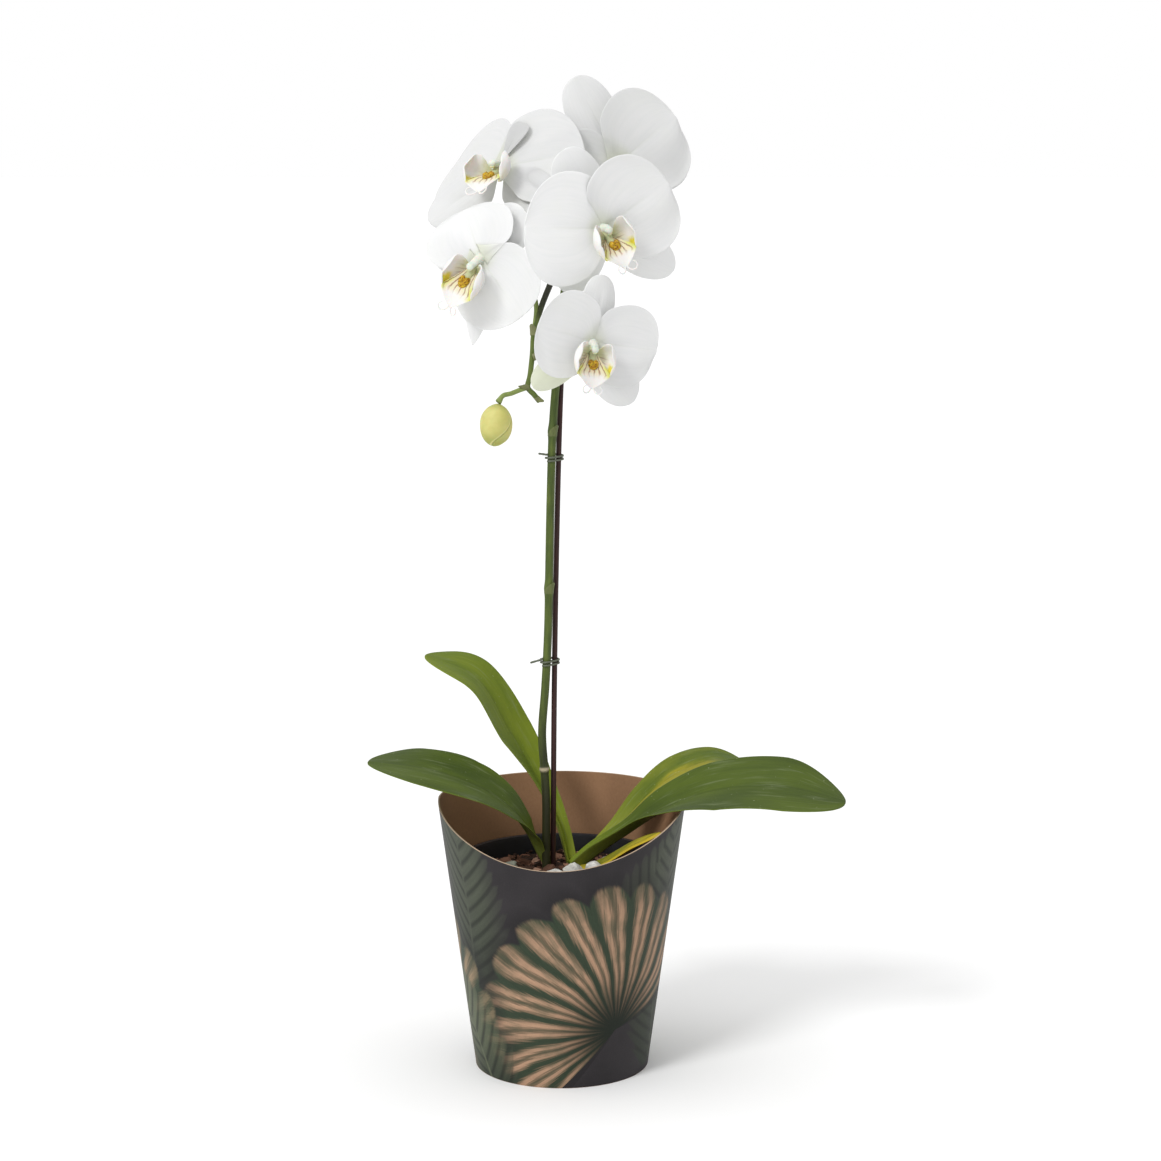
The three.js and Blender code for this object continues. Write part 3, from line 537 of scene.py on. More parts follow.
class Paint:
    """A procedural finish: one Principled shader and the nodes that feed it."""

    def __init__(self, name, **uniform):
        self.material = bpy.data.materials.new(name)
        self.material.use_nodes = True
        self.tree = self.material.node_tree
        self.shader = self.tree.nodes["Principled BSDF"]
        for key, value in uniform.items():
            socket = key.replace("_", " ").title().replace("Ior", "IOR")
            self.shader.inputs[socket].default_value = value

    def node(self, kind, settings=None, sockets=None, out=0):
        """Any node: its type, its settings, and the values or links of its sockets."""
        made = self.tree.nodes.new(kind)
        for key, value in (settings or {}).items():
            if key == "stops":
                ramp = made.color_ramp.elements
                while len(ramp) < len(value):
                    ramp.new(0.5)
                for stop, (place, light) in zip(ramp, value):
                    stop.position = place
                    stop.color = (*light, 1)
            else:
                setattr(made, key, value)
        for key, value in (sockets or {}).items():
            self.feed(made.inputs[key], value)
        return Value(self, made.outputs[out])

    def feed(self, socket, value):
        if isinstance(value, Value):
            self.tree.links.new(value.socket, socket)
        elif isinstance(value, (tuple, list)) and len(value) == 3 and socket.type == "RGBA":
            socket.default_value = (*value, 1)
        else:
            socket.default_value = value

    def maths(self, operation, *values):
        return self.node("ShaderNodeMath", {"operation": operation}, dict(enumerate(values)))

    def vector(self, operation, *values):
        return self.node("ShaderNodeVectorMath", {"operation": operation}, dict(enumerate(values)))

    def mix(self, share, a, b):
        """From colour a to colour b."""
        return self.node("ShaderNodeMix", {"data_type": "RGBA"}, {0: share, 6: a, 7: b}, out=2)

    def tone(self, light, share):
        """A colour made lighter or darker by a number."""
        sockets = {0: 1.0, 6: light, 7: self.join(share, share, share)}
        return self.node("ShaderNodeMix", {"data_type": "RGBA", "blend_type": "MULTIPLY"}, sockets, out=2)

    def step(self, value, low, high):
        """0 below low, 1 above high, and smooth between."""
        sockets = {0: value, 1: low, 2: high}
        return self.node("ShaderNodeMapRange", {"interpolation_type": "SMOOTHSTEP"}, sockets)

    def place(self):
        """The point on the part, in millimetres."""
        here = self.node("ShaderNodeTexCoord", out=3)
        return self.vector("MULTIPLY", here, (1000.0, 1000.0, 1000.0))

    def split(self, vector):
        parts = self.node("ShaderNodeSeparateXYZ", sockets={0: vector}).socket.node
        return [Value(self, socket) for socket in parts.outputs]

    def join(self, x, y, z=0.0):
        return self.node("ShaderNodeCombineXYZ", sockets={0: x, 1: y, 2: z})

    def noise(self, vector, size, detail=3.0, rough=0.55):
        """Cloudy noise from 0 to 1 with lumps of that size."""
        sockets = {"Vector": vector, "Scale": 1.0 / size, "Detail": detail, "Roughness": rough}
        return self.node("ShaderNodeTexNoise", sockets=sockets)

    def cells(self, vector, size):
        """How far the nearest of many scattered points is, in shares of that size."""
        sockets = {"Vector": vector, "Scale": 1.0 / size}
        return self.node("ShaderNodeTexVoronoi", {"feature": "F1"}, sockets)

    def field(self, name):
        return self.node("ShaderNodeAttribute", {"attribute_name": name}, out=2)

    def finish(self, body, roughness=None, height=None, depth=0.0):
        """Feeds the shader; height is the relief in shares of depth, and depth is in millimetres."""
        self.feed(self.shader.inputs["Base Color"], body)
        if roughness is not None:
            self.feed(self.shader.inputs["Roughness"], roughness)
        if height is not None:
            sockets = {"Strength": 1.0, "Distance": depth * MM, "Height": height}
            bump = self.node("ShaderNodeBump", sockets=sockets)
            self.tree.links.new(bump.socket, self.shader.inputs["Normal"])
        return self.material


def colour(red, green, blue):
    """A colour as seen on a screen, from 0 to 255, as the light values that shaders take."""
    def light(c):
        c = c / 255
        return c / 12.92 if c <= 0.04045 else ((c + 0.055) / 1.055) ** 2.4
    return light(red), light(green), light(blue)


def dimmed(light, share):
    """A plain colour made darker, or lighter by a share above 1."""
    return tuple(c * share for c in light)


CHARCOAL = colour(38, 35, 37)
KRAFT = colour(156, 119, 88)


def on_cover(p, turn, height, at_turn, at_height, axis):
    """A motif's own millimetres: to the right of its foot and above it, along its axis and off it."""
    x = p.maths("WRAP", turn - math.radians(at_turn), math.pi, -math.pi) * cover_radius(height)
    y = height - at_height
    c, s = math.cos(math.radians(axis)), math.sin(math.radians(axis))
    return x, y, y * c + x * s, x * c - y * s


def fan_print(p, turn, height, fan, ground):
    """A pleated fan leaf on the cover, drawn from its hub outwards, with a soft shadow round it."""
    at_turn, at_height, axis, size, fingers, lit, line = fan
    spread = math.radians(104)
    x, y, up, out = on_cover(p, turn, height, at_turn, at_height, axis)
    reach = p.maths("SQRT", up * up + out * out)
    way = p.maths("ARCTAN2", out, up)
    wobble = (p.noise(p.join(x, y, at_turn), 38, 1.0) - 0.5) * 0.14 + 0.16 * (reach / size) ** 2
    cell = p.maths("FRACT", (way + wobble) * (fingers / (2 * spread)) + 100.5)
    fold = abs(cell - 0.5) * 2
    droop = abs(way / spread)
    far = size * (1 - 0.2 * droop * droop)
    tip = far * (1 - 0.1 * fold ** 2.4)
    streak = p.noise(p.join(reach * 0.05, way * 60, at_turn), 1.0, 4.0)
    stroke = p.noise(p.join(reach * 0.03, way * 26, at_turn + 3), 1.0, 3.0)
    shape = p.step(tip - reach + (streak - 0.5) * 3, -1.5, 2.5) * (abs(way) < spread)
    edge = p.step(fold + (streak - 0.5) * 0.8, 0.42, 0.84)
    rib = 1 - p.step(fold + (streak - 0.5) * 0.2, 0.04, 0.26)
    finer = abs(p.maths("FRACT", cell * 5 + 0.5) - 0.5) * 2
    thread = (1 - p.step(finer + (streak - 0.5) * 0.9, 0.0, 0.36)) * (1 - p.step(fold, 0.5, 0.8))
    deep = p.step(reach / size + (stroke - 0.5) * 0.3, 0.06, 0.5)
    cloud = p.noise(p.join(x, y, at_turn + 7), 20, 3.0)
    glaze = p.step(cloud + (stroke - 0.5) * 0.8, 0.42, 0.7)
    body = p.mix(glaze * 0.75, lit, p.mix(0.5, dimmed(lit, 0.6), SAGE))
    body = p.mix(thread * 0.4, body, line)
    body = p.mix(rib * 0.75, body, line)
    body = p.mix(edge, body, line)
    body = p.mix(p.step(reach / far, 0.78, 0.98) * 0.5, body, line)
    body = p.mix(deep, dimmed(line, 0.3), body)
    body = p.tone(body, 0.6 + 0.7 * streak)
    near = p.step(tip - reach, -16, 0) * (abs(way) < spread * 1.06)
    ground = p.mix(near * 0.5, ground, dimmed(CHARCOAL, 0.4))
    return p.mix(shape, ground, body)


def frond_print(p, turn, height, frond, ground):
    """A feathered frond on the cover, drawn along its bent rib."""
    at_turn, at_height, axis, length, width, bend, lit, dark = frond
    _, _, up, out = on_cover(p, turn, height, at_turn, at_height, axis)
    out = out - up * up * bend
    share = p.node("ShaderNodeClamp", sockets={0: up / length})
    half = width * p.maths("SINE", (0.06 + 0.94 * share) * math.pi) ** 0.55
    side = abs(out)
    place = (up - side * 0.75 - side * side * 0.008) / 9.0
    cell = p.maths("FRACT", place + 100.0)
    fold = abs(cell - 0.5) * 2
    tip = half * (1 - 0.16 * fold)
    streak = p.noise(p.join(side * 0.06, place * 4, at_turn), 1.0, 4.0)
    shape = p.step(tip - side + (streak - 0.5) * 4, -1.2, 1.8) * (up > 0) * (up < length)
    gap = p.step(fold + (streak - 0.5) * 0.7, 0.4, 0.95)
    rib = 1 - p.step(side, 0.5, 1.5)
    body = p.mix(p.step(share, 0.0, 0.7), dark, lit)
    body = p.mix(gap * 0.7, body, dimmed(dark, 0.35))
    body = p.mix(rib * 0.7, body, lit)
    body = p.tone(body, 0.6 + 0.7 * streak)
    fade = 1 - 0.75 * p.step(side / width + (streak - 0.5) * 0.3, 0.3, 1.0)
    return p.mix(shape * fade, ground, body)


TAN = colour(170, 136, 110)
SAND = colour(148, 126, 98)
LEAF_LINE = colour(46, 58, 42)
SAGE = colour(92, 98, 76)
SLATE = colour(70, 75, 62)
PINE = colour(42, 49, 38)

# The print: fan leaves (turn from the front, height of the hub, axis, reach, pleats, colours) and
# feathered fronds (turn, height, axis, length, half width, bend, colours), from back to front.
FRONDS_BEHIND = [
    (-62, 30, 12, 150, 34, -0.0016, SLATE, PINE),
    (18, 62, 30, 120, 30, 0.002, SLATE, PINE),
    (78, 6, -14, 150, 34, 0.0012, SLATE, PINE),
    (140, 40, 16, 130, 32, -0.002, SLATE, PINE),
    (-150, 10, -10, 150, 34, 0.0018, SLATE, PINE),
    (-104, 66, -24, 110, 30, 0.002, SLATE, PINE),
]
FANS = [
    (34, 34, -34, 92, 12, TAN, LEAF_LINE),
    (-118, 22, 22, 84, 11, SAND, LEAF_LINE),
    (150, 96, 150, 86, 12, TAN, LEAF_LINE),
]
FRONDS_IN_FRONT = [
    (-46, -16, -18, 96, 30, -0.003, SAGE, PINE),
    (104, -10, 20, 92, 28, 0.003, SAGE, PINE),
    (-166, -18, 6, 90, 28, 0.002, SAGE, PINE),
]


def cover_board():
    """Printed board: kraft inside and at the cut rim, with a painted leaf print outside."""
    p = Paint("cover_board", specular_ior_level=0.22)
    at = p.place()
    x, y, z = p.split(at)
    turn = p.maths("ARCTAN2", x, -y)
    fibre = p.noise(p.join(turn * 260, z * 2.2), 5.0, 6.0, 0.7)
    fleck = p.noise(at, 0.7, 2.0)
    cloud = p.noise(at, 30)
    kraft = p.mix(p.step(fibre, 0.25, 0.75), dimmed(KRAFT, 0.86), KRAFT)
    kraft = p.tone(kraft, 0.9 + 0.12 * cloud + 0.06 * fleck)
    paint = p.mix(p.step(cloud, 0.3, 0.7), CHARCOAL, dimmed(CHARCOAL, 1.35))
    for frond in FRONDS_BEHIND:
        paint = frond_print(p, turn, z, frond, paint)
    for fan in FANS:
        paint = fan_print(p, turn, z, fan, paint)
    for frond in FRONDS_IN_FRONT:
        paint = frond_print(p, turn, z, frond, paint)
    grain = p.noise(at, 0.9, 3.0)
    paint = p.tone(paint, 0.86 + 0.28 * grain)
    outside = p.field("printed")
    kraft = p.mix(p.field("cut") * 0.85, kraft, colour(176, 156, 134))
    rough = 0.78 - 0.24 * outside + 0.08 * (fleck - 0.5)
    return p.finish(p.mix(outside, kraft, paint), rough, fibre * 0.6 + fleck * 0.4, 0.12)


def kraft_board():
    """Plain kraft board of the cover's foot."""
    p = Paint("kraft_board", specular_ior_level=0.25)
    at = p.place()
    x, y, z = p.split(at)
    fibre = p.noise(p.join(x, y * 0.35, z), 3.0, 6.0, 0.7)
    body = p.mix(p.step(fibre, 0.3, 0.7), dimmed(KRAFT, 0.82), KRAFT)
    return p.finish(body, 0.74 + 0.12 * fibre, fibre, 0.1)


def pot_plastic():
    """Black moulded plastic with a fine matt grain, and a painted highlight along its rim, where it is also
    smoother.
    """
    p = Paint("nursery_pot", specular_ior_level=0.45)
    at = p.place()
    z = p.split(at)[2]
    grain = p.noise(at, 0.6, 3.0)
    cloud = p.noise(at, 18)
    # painted highlight: the rim is painted a lighter grey, as if it caught the light
    rim = p.step(z, 121.5, 124.5)
    body = p.mix(cloud, colour(20, 21, 24), colour(34, 35, 39))
    body = p.mix(rim * 0.4, body, colour(48, 50, 56))
    return p.finish(body, 0.32 + 0.18 * cloud + 0.08 * grain - 0.14 * rim, grain, 0.05)


def bark_finish():
    """Potting bark: torn brown chips, each of its own shade, with fibres along them."""
    p = Paint("bark", specular_ior_level=0.2)
    at = p.place()
    tint = p.field("tint")
    grain = p.noise(p.join(p.field("grain") * 3.2, p.field("length") * 0.35, tint * 90), 1.0, 5.0, 0.65)
    cloud = p.noise(at, 4.0)
    stops = [(0.0, colour(46, 31, 24)), (0.35, colour(84, 58, 44)), (0.6, colour(122, 84, 66)),
             (0.85, colour(158, 116, 96)), (1.0, colour(176, 142, 122))]
    shade = p.node("ShaderNodeValToRGB", {"stops": stops}, {0: tint + (cloud - 0.5) * 0.35})
    body = p.tone(shade, 0.36 + 0.95 * grain)
    return p.finish(body, 0.82 + 0.14 * cloud, grain, 0.5)


def stone_finish():
    """Pale crushed stone with grey flecks and a rough broken surface."""
    p = Paint("stone", specular_ior_level=0.3)
    at = p.place()
    cloud = p.noise(at, 3.0, 4.0)
    fleck = p.noise(at, 0.55, 2.0)
    body = p.mix(p.step(cloud, 0.35, 0.7), colour(214, 212, 206), colour(172, 172, 168))
    body = p.mix(p.step(fleck, 0.6, 0.72) * 0.6, body, colour(120, 120, 118))
    body = p.mix(p.field("green"), body, colour(122, 130, 108))
    return p.finish(body, 0.62 + 0.25 * cloud, cloud * 0.5 + fleck * 0.5, 0.5)


LEAF_SKINS = {
    "leaf": dict(deep=colour(56, 72, 18), light=colour(76, 92, 24), base=colour(112, 128, 34),
                 pale=colour(98, 112, 44)),
    "young_leaf": dict(deep=colour(86, 104, 22), light=colour(112, 126, 32), base=colour(136, 148, 44),
                       pale=colour(118, 130, 54)),
    "pale_leaf": dict(deep=colour(74, 92, 20), light=colour(112, 120, 30), base=colour(132, 140, 40),
                      pale=colour(122, 130, 54), old=0.28),
    "old_leaf": dict(deep=colour(92, 102, 26), light=colour(164, 150, 40), base=colour(178, 160, 50),
                     pale=colour(150, 142, 60), old=0.8),
}


def leaf_finish(name, deep, light, base, pale, old=0.0):
    """Waxy leaf skin: fine parallel veins, a midrib darkened with painted shade for its groove, a paler
    foot and rim, a pale back, a dull film and scattered dust; an old leaf has yellow patches."""
    p = Paint(name, specular_ior_level=0.14)
    along, across = p.field("along"), p.field("across")
    veins = p.noise(p.join(across * 26, along * 1.6, 3.0), 1.0, 3.0)
    cloud = p.noise(p.join(across * 1.1, along * 2.6, p.field("number") * 7), 1.0, 4.0)
    spots = p.noise(p.join(across * 10, along * 34, 9.0), 1.0, 2.0)
    midrib = 1 - p.step(abs(across), 0.01, 0.06)
    low = 1 - p.step(along + (cloud - 0.5) * 0.16, 0.04, 0.46)
    rim = p.step(abs(across), 0.955, 1.0)
    body = p.mix(p.step(cloud, 0.3, 0.72), deep, light)
    body = p.mix(low * 0.9, body, base)
    # painted shade: the midrib is painted darker, as if its groove lay in shade
    body = p.mix(midrib * 0.3, body, dimmed(deep, 0.7))
    body = p.mix(rim * 0.35, body, base)
    body = p.mix(p.field("under") * 0.5, body, pale)
    if old:
        patch = p.step(cloud + across * 0.3, 0.42, 0.66)
        body = p.mix(patch * old, body, colour(196, 170, 44))
    body = p.mix(p.field("under") * low * 0.6, body, colour(142, 154, 72))
    body = p.tone(body, 0.76 + 0.46 * veins)
    film = p.noise(p.join(across * 9, along * 8, 4.0), 1.0, 4.0)
    body = p.mix(p.step(film, 0.52, 0.78) * 0.3, body, colour(136, 146, 112))
    dust = p.cells(p.join(across * 15, along * 60, 2.0), 1.0)
    speck = (1 - p.step(dust, 0.05, 0.12)) * p.step(spots, 0.52, 0.6)
    body = p.mix(speck * 0.7, body, colour(214, 220, 190))
    rough = 0.34 + 0.16 * cloud + 0.25 * speck
    return p.finish(body, rough, veins * 0.5 + cloud * 0.5, 0.2)


def crown_finish():
    """The crown: green low down, dark brown where the leaves' feet wrap it, and silvery roots."""
    p = Paint("crown", specular_ior_level=0.3)
    at = p.place()
    cloud = p.noise(at, 5.0, 4.0)
    root = p.field("root")
    green = p.mix(cloud, colour(112, 128, 62), colour(150, 158, 88))
    silver = p.mix(cloud, colour(150, 154, 132), colour(192, 190, 170))
    sheath = p.step(p.split(at)[2] + (cloud - 0.5) * 6, 108, 115)
    green = p.mix(sheath * 0.85, green, p.mix(cloud, colour(52, 44, 26), colour(84, 84, 42)))
    return p.finish(p.mix(root, green, silver), 0.55 + 0.2 * cloud, cloud, 0.3)


def stem_finish():
    """Green flower stem, dark brown low down and paler at the blooms, with a papery ring and a dark
    stretch of painted shade."""
    p = Paint("stem", specular_ior_level=0.3)
    at = p.place()
    x, y, z = p.split(at)
    cloud = p.noise(p.join(x, y, z * 0.16), 3.2, 4.0)
    fine = p.noise(p.join(x * 2.2, y * 2.2, z * 0.3), 1.6, 3.0)
    low = 1 - p.step(z + (cloud - 0.5) * 40, 150, 255)
    body = p.mix(p.step(cloud, 0.3, 0.7), colour(58, 74, 26), colour(84, 98, 38))
    body = p.mix(low * 0.9, body, colour(38, 36, 21))
    body = p.mix(p.field("pale"), body, colour(150, 166, 96))
    body = p.mix(p.field("white"), body, colour(214, 220, 190))
    # painted shade: a stretch of the stem painted near black
    body = p.mix(p.field("dark") * 0.85, body, colour(50, 44, 44))
    body = p.mix(p.field("papery"), body, colour(176, 164, 136))
    body = p.tone(body, 0.82 + 0.34 * fine)
    return p.finish(body, 0.42 + 0.2 * cloud, fine, 0.15)


def bud_finish():
    """A closed bud: yellow-green, greener at both ends, with painted shade in its seams, darker green,
    and a painted highlight on the raised edge beside them.
    """
    p = Paint("bud", specular_ior_level=0.3, subsurface_weight=0.2, subsurface_scale=0.003)
    at = p.place()
    along, seam = p.field("along"), p.field("seam")
    cloud = p.noise(at, 9.0, 3.0)
    body = p.mix(p.step(cloud, 0.3, 0.75), colour(188, 184, 104), colour(202, 196, 124))
    body = p.mix(p.step(along, 0.55, 1.0) * 0.7, body, colour(138, 148, 66))
    body = p.mix((1 - p.step(along, 0.0, 0.16)) * 0.6, body, colour(150, 160, 84))
    # painted shade: the seams are painted darker green, as if shaded in their grooves
    body = p.mix(seam * 0.75, body, colour(132, 140, 60))
    # painted highlight: the raised edge beside each seam is painted pale
    body = p.mix(p.field("edge") * 0.7, body, colour(226, 224, 160))
    return p.finish(body, 0.48 + 0.1 * cloud, cloud, 0.2)


def petal_finish():
    """White petals: fine fanning veins, a green blush at the claw that is partly painted shade, a line
    of painted shade down the middle, painted light and shade for each bloom and petal, and soft light
    through them.
    """
    p = Paint("petal", specular_ior_level=0.25, subsurface_weight=0.2, subsurface_scale=0.004,
              subsurface_radius=(1.0, 1.0, 0.9))
    along, across = p.field("along"), p.field("across")
    fan = p.noise(p.join(across * 13, along * 1.3, p.field("number")), 1.0, 3.0)
    fine = p.noise(p.join(across * 44, along * 5.0, p.field("number")), 1.0, 2.0)
    cloud = p.noise(p.place(), 16, 3.0)
    claw = 1 - p.step(along, 0.06, 0.26)
    back = p.field("under")
    white = p.mix(p.step(fan, 0.3, 0.75), colour(227, 227, 227), colour(223, 224, 224))
    white = p.mix(p.step(cloud, 0.4, 0.75) * 0.5, white, colour(224, 225, 222))
    # the grey-green at the claw is partly the petals' own green and partly painted shade where the tepals
    # meet
    white = p.mix(claw * 0.5, white, colour(206, 212, 176))
    green = p.field("green")
    white = p.mix(green * (0.45 + 0.4 * fan), white, colour(210, 216, 178))
    white = p.mix(back * p.field("sepal") * 0.3, white, colour(226, 232, 204))
    # painted shade: a grey line down the middle of each petal, for the shade in its crease
    midline = (1 - p.step(abs(across), 0.0, 0.05)) * (1 - p.step(along, 0.3, 0.9))
    white = p.mix(midline * 0.18, white, colour(206, 210, 196))
    # painted light and shade: each bloom's and each petal's brightness is painted into the colour
    white = p.tone(white, p.field("whiteness"))
    height = fan * 0.7 + fine * 0.3 - midline * 0.6
    return p.finish(white, 0.5 + 0.1 * fan, height, 0.16)


def column_finish():
    """The off-white column, faintly rose at its tip, greener at its foot and yellower beneath."""
    p = Paint("column", specular_ior_level=0.3, subsurface_weight=0.25, subsurface_scale=0.003)
    along = p.field("along")
    cloud = p.noise(p.place(), 2.0, 3.0)
    body = p.mix(cloud, colour(224, 225, 216), colour(212, 215, 200))
    body = p.mix(p.step(along, 0.86, 1.0) * 0.2, body, colour(236, 222, 220))
    body = p.mix(p.field("below") * 0.55, body, colour(214, 214, 150))
    body = p.mix((1 - p.step(along, 0.1, 0.4)) * 0.5, body, colour(206, 220, 168))
    return p.finish(body, 0.52 + 0.15 * cloud, cloud, 0.15)


def lip_finish():
    """The lip: white lobes, lemon patches and wings, red-brown lines about a dotted callus."""
    p = Paint("lip", specular_ior_level=0.2, subsurface_weight=0.15, subsurface_scale=0.003)
    along, across, callus = p.field("along"), p.field("across"), p.field("callus")
    side, middle, inner = p.field("side"), p.field("middle"), 1 - p.field("under")
    at = p.place()
    soft = p.noise(at, 2.6, 3.0)
    dots = p.cells(at, 1.15)
    fan = p.noise(p.join(across * 9, along * 1.2, 5.0), 1.0, 2.0)
    body = p.mix(fan, colour(229, 228, 226), colour(222, 221, 218))
    lemon = p.mix(soft, colour(226, 214, 52), colour(206, 192, 30))
    lime = p.mix(soft, colour(196, 204, 72), colour(214, 214, 96))
    stripes = p.step(p.maths("SINE", across * 19 + (soft - 0.5) * 4), 0.45, 0.85)
    # the greenish throat and the beige foot of each side lobe's inner face are partly their own colour and
    # partly painted shade deep in the bowl
    throat = (1 - p.step(along + (soft - 0.5) * 0.2, 0.08, 0.52)) * (1 - p.step(across, -0.2, 0.5))
    body = p.mix(side * inner * throat * 0.75, body, colour(176, 182, 118))
    foot = (1 - p.step(along + (soft - 0.5) * 0.14, 0.3, 0.52)) * p.step(across, -0.35, 0.15)
    body = p.mix(side * inner * foot * 0.35, body, colour(206, 194, 138))
    near = 1 - p.step(along + (soft - 0.5) * 0.2, 0.16, 0.44)
    body = p.mix(side * inner * near * p.step(across, -0.5, 0.1) * stripes * 0.45, body, colour(112, 64, 40))
    corner = p.step(across + (soft - 0.5) * 0.3, 0.16, 0.5) * p.step(along, 0.36, 0.52)
    body = p.mix(side * corner * (1 - p.step(along, 0.8, 0.95)) * (0.2 + 0.75 * inner), body, lemon)
    wing = p.step(abs(across), 0.62, 0.94) * p.step(along, 0.3, 0.46) * (1 - p.step(along, 0.6, 0.74))
    root = 1 - p.step(along + (soft - 0.5) * 0.16, 0.5, 0.72)
    body = p.mix(middle * root * 0.5, body, p.mix(soft, colour(216, 196, 130), colour(222, 210, 112)))
    body = p.mix(middle * wing * 0.8, body, lime)
    body = p.mix(middle * stripes * root * 0.7, body, colour(122, 70, 44))
    spots = 1 - p.step(dots, 0.3, 0.46)
    orange = p.mix(p.step(soft, 0.35, 0.65), colour(204, 168, 44), colour(170, 130, 32))
    orange = p.mix(spots * 0.75, orange, colour(112, 58, 26))
    body = p.mix(callus, body, orange)
    return p.finish(body, 0.42 + 0.16 * soft, fan * 0.5 + soft * 0.5, 0.15)


def stake_finish():
    """The dyed stake: dark red-brown with fibres along it."""
    p = Paint("stake", specular_ior_level=0.3)
    x, y, z = p.split(p.place())
    fibre = p.noise(p.join(x * 3, y * 3, z * 0.12), 1.6, 4.0)
    cloud = p.noise(p.join(x, y, z * 0.1), 4.0)
    body = p.mix(p.step(fibre, 0.3, 0.7), colour(42, 20, 19), colour(66, 34, 31))
    body = p.mix(cloud * 0.5, body, colour(50, 34, 31))
    return p.finish(body, 0.42 + 0.2 * fibre, fibre, 0.2)


def wire_finish():
    """Plastic-coated tie wire, grey-green."""
    p = Paint("tie", specular_ior_level=0.4)
    at = p.place()
    cloud = p.noise(at, 2.0, 3.0)
    fine = p.noise(at, 0.4, 2.0)
    return p.finish(p.mix(cloud, colour(74, 80, 66), colour(104, 110, 92)), 0.4 + 0.2 * fine, fine, 0.08)


# ---------------------------------------------------------------- cover and nursery pot


def cover_radius(z):
    """The cover's outer radius at a height, a number or a Value."""
    return COVER["base"] + (COVER["rim"] - COVER["base"]) * z / COVER["height"]


def rim_height(angle):
    """How high the cover's rim stands at an angle: level at the back and dipped in front."""
    from_front = angle + math.pi / 2 + math.radians(COVER["dip_turn"])
    turn = abs(math.atan2(math.sin(from_front), math.cos(from_front)))
    if turn >= math.pi / 2:
        return COVER["height"]
    climb = (1 - math.cos(turn) + math.sin(turn) ** 2) / 2
    return COVER["height"] - COVER["front_dip"] * (1 - climb)


def wall_section(angle):
    """The board's outline at an angle: up the outside, over the cut rim and down the inside."""
    top, board, cut = rim_height(angle), COVER["board"], COVER["cut_round"]
    outer = [(cover_radius(z), z) for z in np.linspace(cut, top - cut, COVER_ROWS)]
    inner = [(cover_radius(z) - board, z) for z in np.linspace(top - cut, cut, COVER_ROWS)]
    over = [(cover_radius(top) - cut, top), (cover_radius(top) - board + cut, top)]
    foot = [(cover_radius(0) - board + cut, 0), (cover_radius(0) - cut, 0)]
    return outer + over + inner + foot


def cover_wall(material):
    form = Form()
    lathe(form, wall_section, COVER_TURNS)
    piece = show("printed_cover", form, material, "cover_board", "cover_wall", sharp=40)
    face = np.tile(np.arange(len(wall_section(0))), COVER_TURNS)
    face_field(piece, "printed", face < COVER_ROWS - 1)
    face_field(piece, "cut", (face >= COVER_ROWS - 1) & (face <= COVER_ROWS + 1))


def glue_flap(material):
    """The printed overlap where the cover's board is glued at the back."""
    rows, columns = 60, 10
    middle = np.zeros((rows, columns, 3))
    for i, share in enumerate(np.linspace(0, 1, rows)):
        for j, across in enumerate(np.linspace(1, -1, columns)):
            z = lerp(FLAP["inset"], COVER["height"] - FLAP["inset"], share)
            radius = cover_radius(z) + FLAP["thick"] / 2 + FLAP["gap"]
            angle = math.radians(FLAP["turn"] - 90) + across * (FLAP["width"] / 2) / radius
            middle[i, j] = (radius * math.cos(angle), radius * math.sin(angle), z)
    form = Form()
    blade(form, middle, FLAP["thick"] / 2, FLAP["thick"] / 2)
    piece = show("glue_flap", form, material, "cover_board", "cover_wall", sharp=40)
    face_field(piece, "printed", [1] * len(piece.data.polygons))


def pot_radius(z):
    """The nursery pot's outer radius at a height, below its rolled rim."""
    return lerp(POT["base"], POT["rim"], (z - POT["foot"]) / POT["height"])


